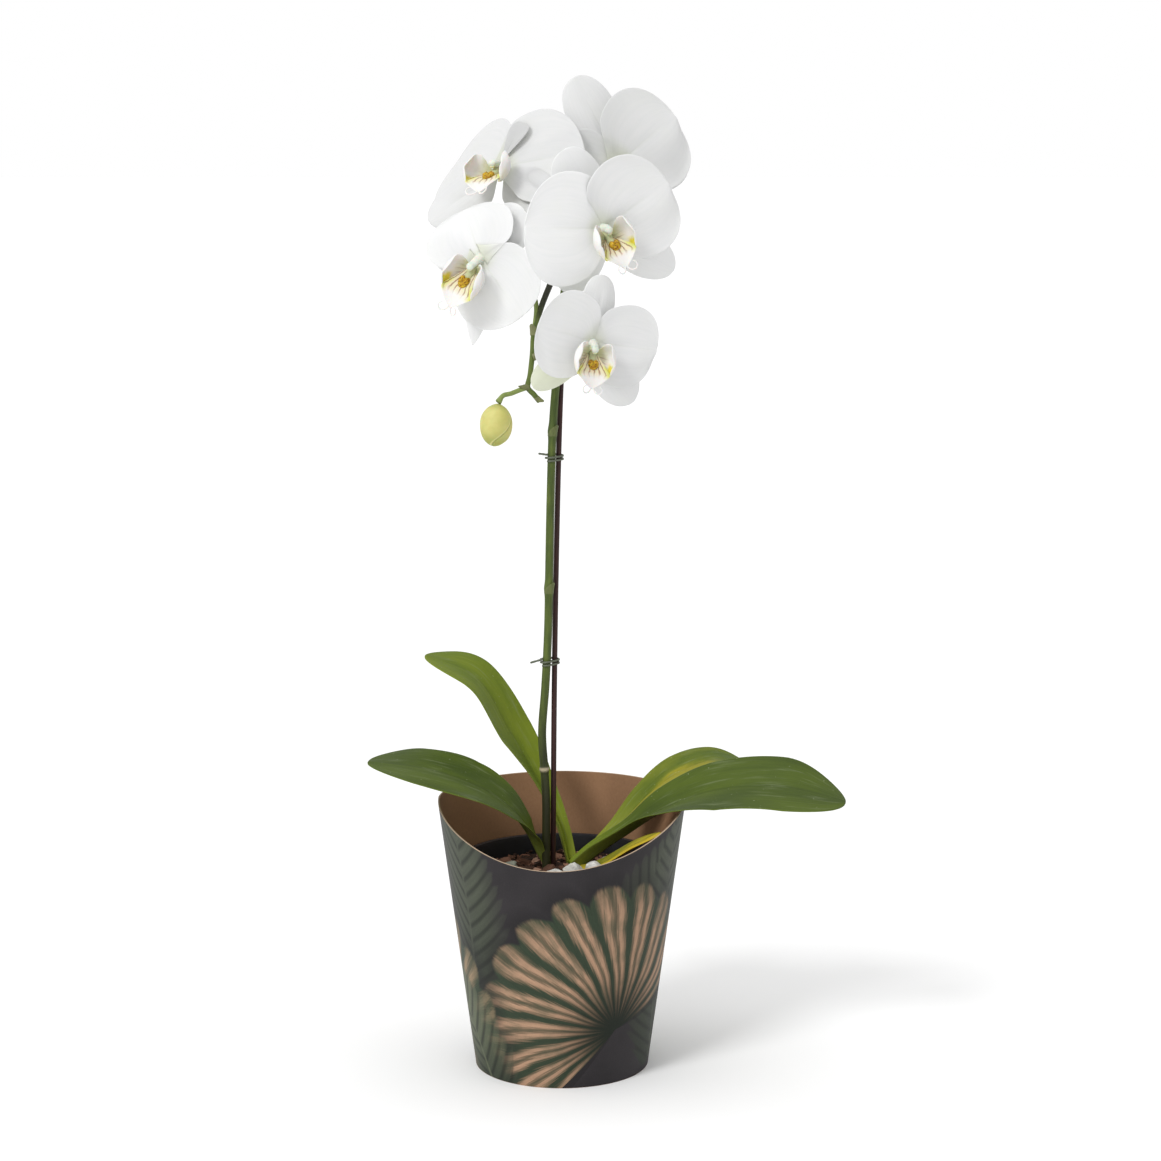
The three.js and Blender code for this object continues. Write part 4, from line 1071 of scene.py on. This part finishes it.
def nursery_pot(material):
    """The grower's pot with its rolled rim, one drain hole in the middle and a ring of others."""
    top = POT["foot"] + POT["height"]
    floor = POT["foot"] + POT["wall"]
    lip_foot = top - POT["lip_height"]
    out = POT["rim"] + POT["lip"]
    section = [(DRAIN["middle"], POT["foot"]), (POT["base"] - 1, POT["foot"]),
               (POT["base"] + 0.1, POT["foot"] + 1)]
    section += [(pot_radius(z), z) for z in np.linspace(POT["foot"] + 3, lip_foot - 8, 10)]
    section += [(pot_radius(lip_foot - 6) + 0.5, lip_foot - 6), (pot_radius(lip_foot) + 0.5, lip_foot)]
    section += [(out - 0.7, lip_foot), (out - 0.2, lip_foot + 0.3), (out, lip_foot + 0.9),
                (out, top - 0.9), (out - 0.25, top - 0.3), (out - 0.9, top)]
    section += [(POT["rim"] - POT["wall"] + 0.8, top), (POT["rim"] - POT["wall"] + 0.2, top - 0.3)]
    section += [(pot_radius(z) - POT["wall"], z) for z in np.linspace(top - 2, floor + 2, 12)]
    section += [(pot_radius(floor) - POT["wall"] - 1, floor), (DRAIN["middle"], floor)]
    form = Form()
    lathe(form, lambda angle: section, 192)
    shell = show("nursery_pot_shell", form, material, "nursery_pot", "nursery_pot", sharp=35)
    holes = Form()
    for k in range(DRAIN["count"]):
        angle = 2 * math.pi * k / DRAIN["count"]
        x, y = DRAIN["ring"] * math.cos(angle), DRAIN["ring"] * math.sin(angle)
        hole = [(x, y, POT["foot"] - 3), (x, y, floor + 3)]
        tube(holes, hole, lambda t: DRAIN["radius"], even(1), sides=24)
    cutter = bpy.data.objects.new("drain_holes", holes.mesh("drain_holes"))
    bpy.context.scene.collection.objects.link(cutter)
    cut = shell.modifiers.new("drains", "BOOLEAN")
    cut.operation, cut.solver, cut.object = "DIFFERENCE", "EXACT", cutter
    bpy.context.view_layer.update()
    drained = shell.evaluated_get(bpy.context.evaluated_depsgraph_get())
    mesh = bpy.data.meshes.new_from_object(drained)
    shell.modifiers.clear()
    shell.data = mesh
    bpy.data.objects.remove(cutter)


# ---------------------------------------------------------------- bark and stones


def bark_height(x, y):
    """The bark's uneven top under its loose chips and stones."""
    radius = np.hypot(x, y)
    ripple = 1.4 * np.sin(0.31 * x + 1.3) * np.cos(0.27 * y) + 0.9 * np.sin(0.17 * (x + 2 * y))
    return BARK["level"] + BARK["mound"] * (1 - (radius / POT["rim"]) ** 2) + ripple


def bark_mound(material):
    """The filled pot below its loose chips: a rough top on a plain plug."""
    rings, turns = 44, 132
    floor = POT["foot"] + POT["wall"] + GAP

    def inside(z):
        return pot_radius(z) - POT["wall"] - GAP

    rim = inside(BARK["level"] - 3)
    loops = []
    angles = np.linspace(0, 2 * math.pi, turns, endpoint=False)
    for i in range(1, rings + 1):
        radius = rim * i / rings
        x, y = radius * np.cos(angles), radius * np.sin(angles)
        rough = 1.3 * ripples(x * 0.5, y * 0.5, 3, 6) * min(1, (rings - i) / 3)
        loops.append(np.stack([x, y, bark_height(x, y) - BARK["sunk"] + rough], axis=1))
    for z in (80, 40, floor):
        x, y = inside(z) * np.cos(angles), inside(z) * np.sin(angles)
        loops.append(np.stack([x, y, np.full(turns, float(z))], axis=1))
    points = np.vstack(loops + [[(0, 0, bark_height(0, 0) - BARK["sunk"]), (0, 0, floor)]])
    grain = ripples(points[:, 0] * 0.8, points[:, 1] * 0.8, 12, 6)
    form = Form()
    form.add(points, lump_faces(len(loops), turns), tint=0.12, grain=grain * 3, length=points[:, 0])
    show("bark_mound", form, material, "bark", "bark")


def chip(form, draw, centre, size, tilt):
    """One torn piece of bark: an uneven slab with chipped edges."""
    long, wide, thick = size
    count = draw.choice([6, 7, 8, 9])
    first = draw.uniform(0, 6.3)
    angles = first + np.cumsum([draw.uniform(0.7, 1.3) for _ in range(count)]) * 2 * math.pi / count
    reach = np.array([draw.uniform(0.72, 1.12) for _ in range(count)])
    layers = []
    for height, share in ((-0.5, 0.78), (-0.3, 1.0), (0.25, 0.98), (0.5, 0.74)):
        wobble = np.array([draw.uniform(0.9, 1.1) for _ in range(count)])
        rise = np.array([draw.uniform(-0.12, 0.12) for _ in range(count)])
        x = np.cos(angles) * reach * wobble * share * long / 2
        y = np.sin(angles) * reach * wobble * share * wide / 2
        layers.append(np.stack([x, y, (height + rise) * thick], axis=1))
    local = np.vstack(layers + [[(0, 0, -0.5 * thick), (0, 0, 0.55 * thick)]])
    turn = Matrix.Rotation(draw.uniform(0, 6.3), 3, "Z") @ Matrix.Rotation(tilt[0], 3, "X") \
        @ Matrix.Rotation(tilt[1], 3, "Y")
    points = local @ np.array(turn).T + np.array(centre)
    form.add(points, lump_faces(len(layers), count, turned=True), tint=draw.uniform(0.05, 1.0) ** 1.8,
             grain=local[:, 1] + local[:, 2], length=local[:, 0])


def bark_chips(material):
    """Loose chips over the mound, clear of the pot's wall, with crumbs between them."""
    draw = random.Random(11)
    form = Form()
    limit = pot_radius(BARK["level"]) - POT["wall"] - 1
    for kind in (CHIP, CRUMB):
        placed = 0
        while placed < kind["count"]:
            radius = limit * math.sqrt(draw.uniform(0, 1))
            angle = draw.uniform(0, 2 * math.pi)
            x, y = radius * math.cos(angle), radius * math.sin(angle)
            long = draw.uniform(*kind["long"])
            size = (long, long * draw.uniform(0.45, 0.8), draw.uniform(*kind["thick"]))
            if radius + long * 0.5 > limit:
                continue
            lift = draw.uniform(-0.8, 1.4) + kind["lift"]
            tilt = (draw.uniform(-0.45, 0.45), draw.uniform(-0.4, 0.4))
            chip(form, draw, (x, y, float(bark_height(x, y)) + lift), size, tilt)
            placed += 1
    show("bark_chips", form, material, "bark", "bark", sharp=28)


def broken(ways, planes, seed):
    """How far a stone reaches in each direction: a ball broken off along planes, and rough."""
    reach = np.full(len(ways), 1.0)
    for normal, depth in planes:
        facing = ways @ normal
        reach = np.minimum(reach, np.where(facing > 0.05, depth / np.maximum(facing, 0.05), 1.0))
    rough = ripples(ways[:, 0] * 9, ways[:, 1] * 9 + ways[:, 2] * 7, seed, 5)
    return reach * 1.06 + 0.025 * rough


def stones(material):
    """Six stones of crushed rock on the bark, each broken along planes of its own."""
    for number, stone in enumerate(STONES, 1):
        x, y = stone["at"]
        draw = random.Random(40 + number)
        planes = [(unit([draw.gauss(0, 1) for _ in range(3)]), draw.uniform(0.66, 0.9)) for _ in range(16)]
        form = Form()
        ball(form, (0, 0, 0), stone["size"], lambda ways: broken(ways, planes, number),
             rows=28, columns=44, green=stone["green"])
        turn = np.array(Matrix.Rotation(math.radians(stone["turn"]), 4, "Z"))
        turn[:3, 3] = (x, y, bark_height(x, y) + stone["lift"])
        form.placed(turn)
        show(f"crushed_stone_{number}", form, material, "stone", f"stone_{number}", sharp=35)


def crown(material):
    """The short stem that the leaves grow from, ringed by old leaf scars, and its roots."""
    form = Form()
    x, y, foot, top = CROWN["x"], CROWN["y"], CROWN["foot"], CROWN["top"]
    trunk = [(x, y, foot), (x, y, lerp(foot, top, 0.6)), (x + 0.6, y, top)]
    rod(form, trunk, lambda t: CROWN["radius"] * (1 - 0.25 * t), 40, 0.12, sides=40,
        rings=lambda t, a: 0.25 * math.sin(t * 60), root=0)
    for k in range(ROOTS["count"]):
        angle = math.radians(ROOTS["turn"] + 360 / ROOTS["count"] * k)
        root = [(x + reach * math.cos(angle), y + reach * math.sin(angle), foot + drop)
                for reach, drop in ROOT_PATH]
        rod(form, root, lambda t: ROOTS["radius"] - ROOTS["thin"] * t, 60, 0.03, sides=18,
            rings=lambda t, a: 0.12 * np.sin(3 * a + 40 * t), root=1)
    show("crown_and_roots", form, material, "leaf", "crown")


# ---------------------------------------------------------------- leaves


def leaf(number, plan, material):
    """A thick strap leaf: a grooved midrib above, a keel below and gently waved edges."""
    t = np.sin(np.linspace(0, math.pi / 2, LEAF["rows"] + 1))
    q = np.sin(np.linspace(math.pi / 2, -math.pi / 2, LEAF["columns"] + 1))
    centres, along = curve(plan["spine"], t)
    across = unit(np.cross(along, (0, 0, 1)))
    across = turned_about(across, along, -np.sign(across[:, 1]) * np.radians(through(plan["turn"], t)))
    normal = unit(np.cross(across, along))
    half = half_widths(plan["widths"], t, LEAF["tip"], 0.4)[:, None]
    t = t[:, None]
    channel = through(plan["channel"], t)
    rise = channel * half * (np.sqrt(q * q + 0.03) - 0.17)
    wave = ripples(t * 9, q * 1.4, 70 + number) * (0.25 + 0.75 * q ** 2)
    wave = wave * smooth(t, 0.15, 0.5) * LEAF["wave"]
    flat = half * np.cos(0.8 * channel)
    middle = centres[:, None] + across[:, None] * (flat * q)[..., None]
    middle = middle + normal[:, None] * (rise + wave)[..., None]
    width = np.abs(q) * half
    body = lerp(LEAF["thick"], LEAF["edge"], np.abs(q)) / 2
    rounding = np.sqrt(np.clip((half - width) / 0.8, 0, 1)) * np.sqrt(np.clip((1 - t) * 300, 0, 1))
    groove = LEAF["groove"] * np.exp(-(width / 1.1) ** 2) * smooth(1 - t, 0.02, 0.3)
    keel = LEAF["keel"] * np.exp(-(width / 1.5) ** 2) * smooth(1 - t, 0.02, 0.4)
    form = Form()
    blade(form, middle, (body - groove) * rounding, (body + keel) * rounding,
          along=t, across=q, number=number)
    show(f"leaf_blade_{number}", form, material, plan["slot"], f"leaf_{number}")


# ---------------------------------------------------------------- blooms


def outline(s, rise, blunt):
    """A tepal's half width at shares s of its length, 1 at its widest and narrowed at its claw."""
    peak = rise / (rise + blunt)
    level = peak ** rise * (1 - peak) ** blunt
    claw = 0.28 + 0.72 * smooth(s, 0, 0.32)
    return claw * s ** rise * (1 - s) ** blunt / level


def tepal(form, plan, number, sepal):
    """One petal or sepal in the bloom's own frame, thin and rounded at its edge."""
    s = lerp(0.04, 0.9996, np.sin(np.linspace(0, math.pi / 2, TEPAL["rows"] + 1)) ** 1.15)[:, None]
    q = np.sin(np.linspace(math.pi / 2, -math.pi / 2, TEPAL["columns"] + 1))
    half = plan["width"] / 2 * outline(s, plan["rise"], plan["blunt"])
    reach = plan["length"] * (s - plan["sweep"] * q * q * (1 - s))
    lower = -q if plan["angle"] < 0 else q
    fold = plan["fold"] * smooth(lower, 0.2, 1) * smooth(s, 0.1, 0.8)
    tilt = math.radians(plan["tilt"])
    height = plan["lift"] + np.maximum(reach, 0) * math.sin(tilt) + plan["bend"] * plan["length"] * s * s
    height = height + plan["cup"] * half * q * q - fold
    waves = ripples(s * 6.0, q * 2.4, number * 13 + 5) * smooth(s, 0.1, 0.5)
    crease = 0.6 * np.exp(-(q * half / 2.2) ** 2) * (1 - smooth(s, 0.5, 0.95))
    height = height + plan["ripple"] * waves * (0.35 + 0.65 * q * q) - crease
    out = reach * math.cos(tilt)
    angle = math.radians(plan["angle"])
    x = out * math.sin(angle) + q * half * math.cos(angle)
    y = out * math.cos(angle) - q * half * math.sin(angle)
    near_edge = np.minimum((1 - np.abs(q)) * half, (1 - s) * plan["length"] * 1.5)
    body = lerp(TEPAL["thick"], TEPAL["edge"], np.abs(q)) / 2 * np.sqrt(np.clip(near_edge / 0.5, 0, 1))
    # the petal carries its painted light and shade as a field
    blade(form, np.stack([x, y, height], axis=-1), body, body, along=s, across=q, number=number,
          sepal=sepal, green=plan.get("green", 0), whiteness=plan["white"])


def bloom_place(bloom):
    """Turns a bloom's own frame to where the flower hangs."""
    turn, nod, roll = (math.radians(bloom[k]) for k in ("turn", "nod", "roll"))
    out = np.array([math.sin(turn) * math.cos(nod), -math.cos(turn) * math.cos(nod), math.sin(nod)])
    right = np.array([[math.cos(turn), math.sin(turn), 0]])
    right = turned_about(right, out[None, :], np.array([roll]))[0]
    matrix = np.eye(4)
    matrix[:3, 0] = right * bloom["scale"]
    matrix[:3, 1] = np.cross(out, right) * bloom["scale"]
    matrix[:3, 2] = out * bloom["scale"]
    matrix[:3, 3] = bloom["at"]
    return matrix


def column(form):
    """The stubby column with its ribbed cap, and the knob behind it that the petals grow from."""
    def radius(t):
        end = max(0, (t - 0.9) / 0.1)
        return float(through(COLUMN_RADII, t)) * math.sqrt(max(1e-3, 1 - end ** 2))

    def flatten(t, a):
        return -0.5 * smooth(t, 0.5, 0.8) * np.clip(np.cos(a - math.pi / 2), 0, 1) ** 2

    def ribs(ways):
        return 1 + 0.05 * np.cos(6 * np.arctan2(ways[:, 1], ways[:, 0])) * (1 - ways[:, 2] ** 2)

    tube(form, COLUMN_LINE, radius, dome_steps(44, 0.08), sides=32, rings=flatten)
    form.fields["along"] = form.fields["share"].copy()
    ball(form, (0, 0.4, 9.6), (4.6, 4.2, 4.0), ribs, along=0.8)
    ball(form, (0, -1.8, 9.4), (2.8, 1.6, 2.6), rows=12, columns=18, along=0.7, below=1.0)


def lobe(form, spine, widths, wide, cup, rows=30, columns=24, flip=1, tip=0.2, hood=0.0, **marks):
    """A lobe of the lip: a cupped blade along a spine, wide along one direction. Its hollow side
    is the front, and flip turns its across field round on a mirrored lobe."""
    t = np.sin(np.linspace(0, math.pi / 2, rows + 1)) ** 1.05 * 0.999
    q = np.sin(np.linspace(math.pi / 2, -math.pi / 2, columns + 1))
    centres, along = curve(spine, t)
    across = unit(wide - along * np.sum(wide * along, axis=1)[:, None])
    normal = np.cross(across, along)
    half = half_widths(widths, t, tip, 0.25)[:, None]
    t = t[:, None]
    wave = 0.35 * np.sin(t * 13) * np.abs(q) ** 3 * smooth(t, 0.2, 0.6)
    lift = through(cup, t) * q ** 2 * half + wave
    lift = lift + hood * (half * (1 - smooth(t, 0.3, 0.85))) * np.clip(-flip * q, 0, 1) ** 2
    grid = centres[:, None] + across[:, None] * (half * q)[..., None]
    grid = grid + normal[:, None] * lift[..., None]
    near_edge = np.minimum((1 - np.abs(q)) * half, (1 - t) * 40)
    body = LOBE_THICK / 2 * np.sqrt(np.clip(near_edge / 0.5, 0, 1))
    blade(form, grid, body, body, along=t, across=flip * q, **marks)


def mirrored(points, mirror):
    """The same points, or for -1 those on the bloom's other side."""
    return [(x * mirror, y, z) for x, y, z in points]


def warts(ways):
    """The callus's uneven skin."""
    return 1 + 0.12 * ripples(ways[:, 0] * 7, ways[:, 1] * 7 + ways[:, 2] * 5, 8, 5)


def lip(form):
    """The lip: two side lobes that stand as a wide bowl about the column, an anchor-shaped middle
    lobe with two curled tendrils, and the warty callus between them."""
    for mirror in (1, -1):
        plan = SIDE_LOBE | dict(spine=mirrored(SIDE_LOBE["spine"], mirror))
        lobe(form, **plan, wide=(0, -0.95 * mirror, 0.3 * mirror), flip=mirror, side=1.0)
        rod(form, mirrored(TENDRIL, mirror), lambda t: 0.55 - 0.25 * t, 46, 0.03, sides=12,
            along=0.95, middle=1.0)
    lobe(form, **MIDDLE_LOBE, wide=(1, 0, 0), middle=1.0)
    for centre, size in CALLUS:
        ball(form, centre, size, warts, callus=1.0)
    tube(form, LIP_FOOT, lambda t: 2.1, even(12), side=1.0, along=0.05, across=-0.6)


def leaned(form, bloom):
    """Widens, leans and turns a column or lip about the petals' middle."""
    matrix = np.eye(4)
    matrix[0, 0] = bloom.get("open", 1.0)
    matrix[:2, 2] = bloom.get("lean", (0, 0))
    turned = np.array(Matrix.Rotation(math.radians(bloom.get("lip_turn", 0)), 4, "Z"))
    return form.placed(turned @ matrix)


def blooms(petal, column_skin, lip_skin):
    """Each open bloom as three pieces: its petals and sepals, its column and its lip."""
    for number, bloom in enumerate(BLOOMS, 1):
        place = bloom_place(bloom)
        petals, middle, lobes = Form(), Form(), Form()
        for k, (key, plan) in enumerate(TEPALS):
            own = plan | bloom[key]
            # painted light and shade: the bloom's white and the petal's shade together paint how bright it
            # is
            own["white"] = bloom["white"] * own.get("shade", 1.0)
            tepal(petals, own, number * 10 + k, plan is not PETAL)
        column(middle)
        lip(lobes)
        petals.placed(place)
        leaned(middle, bloom).placed(place)
        leaned(lobes, bloom).placed(place)
        show(f"bloom_{number}_petals", petals, petal, "petal", f"bloom_{number}")
        show(f"bloom_{number}_column", middle, column_skin, "petal", f"bloom_{number}")
        show(f"bloom_{number}_lip", lobes, lip_skin, "lip", f"lip_{number}")


# ---------------------------------------------------------------- spike, bud, stake and ties


def stem_radius(t):
    return lerp(STEM["radius"], STEM["tip"], smooth(t, 0.3, 0.9))


def scale_leaf(form, foot, along, lean, radius, length, papery):
    """A small pointed scale wrapped about a stem, open on the far side."""
    rows, columns = SCALE["rows"], SCALE["columns"]
    along = unit(along)
    lean = unit(np.asarray(lean, float) - along * np.dot(lean, along))
    other = np.cross(along, lean)
    grid = np.zeros((rows, columns, 3))
    for i, u in enumerate(np.linspace(0, 1, rows)):
        spread = math.radians(SCALE["wrap"]) * (1 - u) ** 0.8 + 0.02
        reach = radius + SCALE["gap"] + SCALE["flare"] * u * u
        for j, w in enumerate(np.linspace(-1, 1, columns)):
            way = lean * math.cos(spread * w) + other * math.sin(spread * w)
            grid[i, j] = foot + along * (u * length) + way * reach
    blade(form, grid, SCALE["thick"], SCALE["thick"], papery=papery, pale=0.03)


def flower_spike(material):
    """The flower stem with its joints and scales, the stalk of each bloom and the bud's stalk."""
    form = Form()
    joints = [share_at_height(SPIKE, height) for height, _ in STEM_JOINTS]

    def radius(t):
        offs = [(t - joint) / STEM["knot_reach"] for joint in joints]
        return float(stem_radius(t)) + sum(STEM["knot"] * math.exp(-off ** 2) for off in offs)

    def stalk_radius(t):
        return STALK["radius"] + STALK["swell"] * smooth(t, 0.4, 1)

    def grooves(t, a):
        return 0.12 * np.cos(3 * a) * smooth(t, 0.5, 0.8)

    rod(form, SPIKE, radius, 520, 0.004, sides=22, rings=lambda t, a: 0.08 * np.sin(5 * a + 9 * t))
    share = form.fields["share"]
    form.fields["pale"] = smooth(share, 0.62, 0.9) * 0.12
    form.fields["white"] = np.zeros(len(share))
    form.fields["papery"] = np.exp(-((share - joints[0]) / STEM_MARKS["ring_reach"]) ** 4)
    # painted shade on a stretch of the stem
    form.fields["dark"] = np.exp(-((share - STEM_MARKS["dark"]) / STEM_MARKS["dark_reach"]) ** 4)
    for joint, (_, side) in zip(joints, STEM_JOINTS):
        if side:
            at, along = curve(SPIKE, joint - 0.003)
            scale_leaf(form, at[0], along[0], (side, -0.8, 0), float(stem_radius(joint)), 7.0, 0.1)
    for stalk, bloom in zip(STALKS, BLOOMS):
        place = bloom_place(bloom)
        back = place @ (0, 0, COLUMN_LINE[0][2] - 2 * GAP / bloom["scale"], 1)
        behind = place @ (0, 0, -STALK["behind"], 1)
        line = [*stalk, behind[:3], back[:3]]
        start = len(form.points)
        tube(form, line, stalk_radius, even(90), rings=grooves)
        share = form.fields["share"][start:]
        form.fields["pale"][start:] = 0.6 + 0.2 * share
        form.fields["white"][start:] = smooth(share, 0.45, 0.95) * 0.6
        foot, along = curve(line, 0.0)
        scale_leaf(form, foot[0] - (0, 0, 1.5), along[0], (-0.6, -0.8, -0.2), 1.9, 6.5, 0.25)
    tube(form, BUD_STALK, lambda t: STALK["radius"] + 0.5 * smooth(t, 0.8, 1), even(60), pale=0.6)
    scale_leaf(form, np.array(BUD_STALK[0]) + (0.5, 0, 0.5), (-1, -0.3, -0.4), (0, -0.4, 1), 1.5, 6, 0.2)
    tip = np.array(SPIKE[-1], float)
    way = unit(tip - np.array(SPIKE[-2]))
    scale_leaf(form, tip - way * 3.4, way, (0.5, -0.6, 0.6), 1.2, 4.6, 0.2)
    show("flower_stem", form, material, "stem", "spike", sharp=60)


def bud(material):
    """A closed bud: three sepals meet in seams that sweep round it."""
    top, tip = np.array(BUD["top"]), np.array(BUD["tip"])
    axis = unit(tip - top)
    length = np.linalg.norm(tip - top)
    side = unit(np.cross(axis, (0, 1, 0)))
    other = np.cross(axis, side)
    rows, columns = 64, 120
    share = ((1 - np.cos(np.linspace(0, math.pi, rows + 1))) / 2)[1:-1, None]
    angles = np.linspace(0, 2 * math.pi, columns, endpoint=False)
    profile = curve([(r, z, 0) for r, z in BUD_PROFILE], np.linspace(0, 1, 400))[0]
    profile = profile[np.argsort(profile[:, 1])]
    radius = np.interp(share, profile[:, 1], profile[:, 0]) * BUD["radius"]
    sweep = angles - BUD["twist"] * share ** 2
    seam, edge = np.zeros(sweep.shape), np.zeros(sweep.shape)
    for turn in BUD_SEAMS:
        off = np.arctan2(np.sin(sweep - turn), np.cos(sweep - turn)) * radius
        seam = np.maximum(seam, np.exp(-(off / 0.4) ** 2))
        edge = np.maximum(edge, np.exp(-((off - 0.75) / 0.5) ** 2))
    fade = smooth(share, 0.05, 0.3)
    full = radius * (1 + 0.02 * np.cos(3 * (sweep - 1.2))) - 0.5 * seam * fade + 0.22 * edge * fade
    points = top + (axis * share * length)[:, None] + (np.cos(angles) * full)[..., None] * side
    points = points + (np.sin(angles) * full)[..., None] * other
    form = Form()
    # seam and edge also carry the bud's painted shade and painted highlight
    form.add(np.vstack([points.reshape(-1, 3), top, tip]), lump_faces(rows - 1, columns, turned=True),
             seam=np.append(seam * fade, (0, 0)), edge=np.append(edge * fade, (0, 0)),
             along=np.append(np.broadcast_to(share, sweep.shape), (0, 1)))
    show("flower_bud", form, material, "bud", "bud")


def stake(material):
    form = Form()
    rod(form, STAKE, lambda t: STAKE_RADIUS, 160, 0.004, sides=24,
        rings=lambda t, a: 0.05 * np.sin(7 * a + 3 * t))
    show("stake_rod", form, material, "stake", "stake")


def wire_ties(material):
    """Soft wire wound about the stem and the stake, with a loose tail."""
    for name, height, tail in TIES:
        a = curve(SPIKE, share_at_height(SPIKE, height))[0][0]
        b = curve(STAKE, share_at_height(STAKE, height))[0][0]
        middle = (a + b) / 2
        line = (a - b) * (1, 1, 0)
        half_span = np.linalg.norm(line) / 2
        axis = unit(line)
        side = np.array((-axis[1], axis[0], 0))
        points = []
        steps = 12
        for k in range(steps * WIRE["turns"] + 1):
            angle = 2 * math.pi * k / steps
            reach = min(max(2.5 * math.cos(angle), -1), 1)
            radius = lerp(STAKE_RADIUS, STEM["radius"], (reach + 1) / 2) + WIRE["radius"] + GAP
            at = middle + axis * (reach * half_span + radius * math.cos(angle)) \
                + side * radius * math.sin(angle)
            points.append((at[0], at[1], height + WIRE["pitch"] * k / steps))
        end = np.array(points[-1])
        points += [tuple(end + np.array(tail) * 0.5), tuple(end + np.array(tail))]
        form = Form()
        rod(form, points, lambda t: WIRE["radius"], 300, 0.006, sides=14,
            rings=lambda t, a: 0.06 * np.sin(4 * a + 160 * t))
        show(f"{name}_wire", form, material, "tie", name)


# ---------------------------------------------------------------- floor, lights and camera


ROOM = 0.66  # how bright the white room lights the plant; the camera sees it at 1
SUNS = [("key", (-1.3, -1.6, 1.6), 18, 1.55), ("sky", (0, 0, 1), 60, 0.85)]  # way, spread, strength
FLOOR_REACH = 30  # metres
CAMERA = dict(sensor=36, lens=88.68, place=(0.0111, -1.6499, 0.5526), down=9)


def studio():
    """A pale floor in a white room with two suns, and the photo's view."""
    scene = bpy.context.scene
    scene.view_settings.view_transform = "Standard"
    floor = bpy.data.meshes.new("floor")
    corners = [(x * FLOOR_REACH, y * FLOOR_REACH, 0) for x, y in ((-1, -1), (1, -1), (1, 1), (-1, 1))]
    floor.from_pydata(corners, [], [(0, 1, 2, 3)])
    ground = bpy.data.objects.new("floor", floor)
    scene.collection.objects.link(ground)
    pale = Paint("floor_paint", roughness=0.9)
    floor.materials.append(pale.finish((0.92, 0.92, 0.92)))
    world = bpy.data.worlds.new("studio")
    scene.world = world
    world.use_nodes = True
    nodes, links = world.node_tree.nodes, world.node_tree.links
    nodes["Background"].inputs["Color"].default_value = (1, 1, 1, 1)
    seen = nodes.new("ShaderNodeLightPath").outputs["Is Camera Ray"]
    strength = nodes.new("ShaderNodeMath")
    strength.operation = "MULTIPLY_ADD"
    links.new(seen, strength.inputs[0])
    strength.inputs[1].default_value = 1 - ROOM
    strength.inputs[2].default_value = ROOM
    links.new(strength.outputs[0], nodes["Background"].inputs["Strength"])
    for name, way, spread, energy in SUNS:
        light = bpy.data.lights.new(name, "SUN")
        light.energy, light.angle = energy, math.radians(spread)
        lamp = bpy.data.objects.new(name, light)
        lamp.location = Vector(way)
        lamp.rotation_euler = Vector(way).to_track_quat("Z", "Y").to_euler()
        scene.collection.objects.link(lamp)
    camera = bpy.data.objects.new("camera", bpy.data.cameras.new("camera"))
    camera.data.sensor_width = CAMERA["sensor"]
    camera.data.lens = CAMERA["lens"]
    camera.location = CAMERA["place"]
    camera.rotation_euler = (math.radians(90 - CAMERA["down"]), 0, 0)
    scene.collection.objects.link(camera)
    scene.camera = camera


# ---------------------------------------------------------------- the whole plant

board = cover_board()
leaf_skins = {name: leaf_finish(name, **skin) for name, skin in LEAF_SKINS.items()}
bark = bark_finish()
studio()
cover_wall(board)
glue_flap(board)
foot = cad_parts["cover_base"]
foot.data.materials.clear()
foot.data.materials.append(kraft_board())
nursery_pot(pot_plastic())
bark_mound(bark)
bark_chips(bark)
stones(stone_finish())
crown(crown_finish())
for number, plan in enumerate(LEAVES, 1):
    leaf(number, plan, leaf_skins[plan["skin"]])
flower_spike(stem_finish())
bud(bud_finish())
stake(stake_finish())
wire_ties(wire_finish())
blooms(petal_finish(), column_finish(), lip_finish())
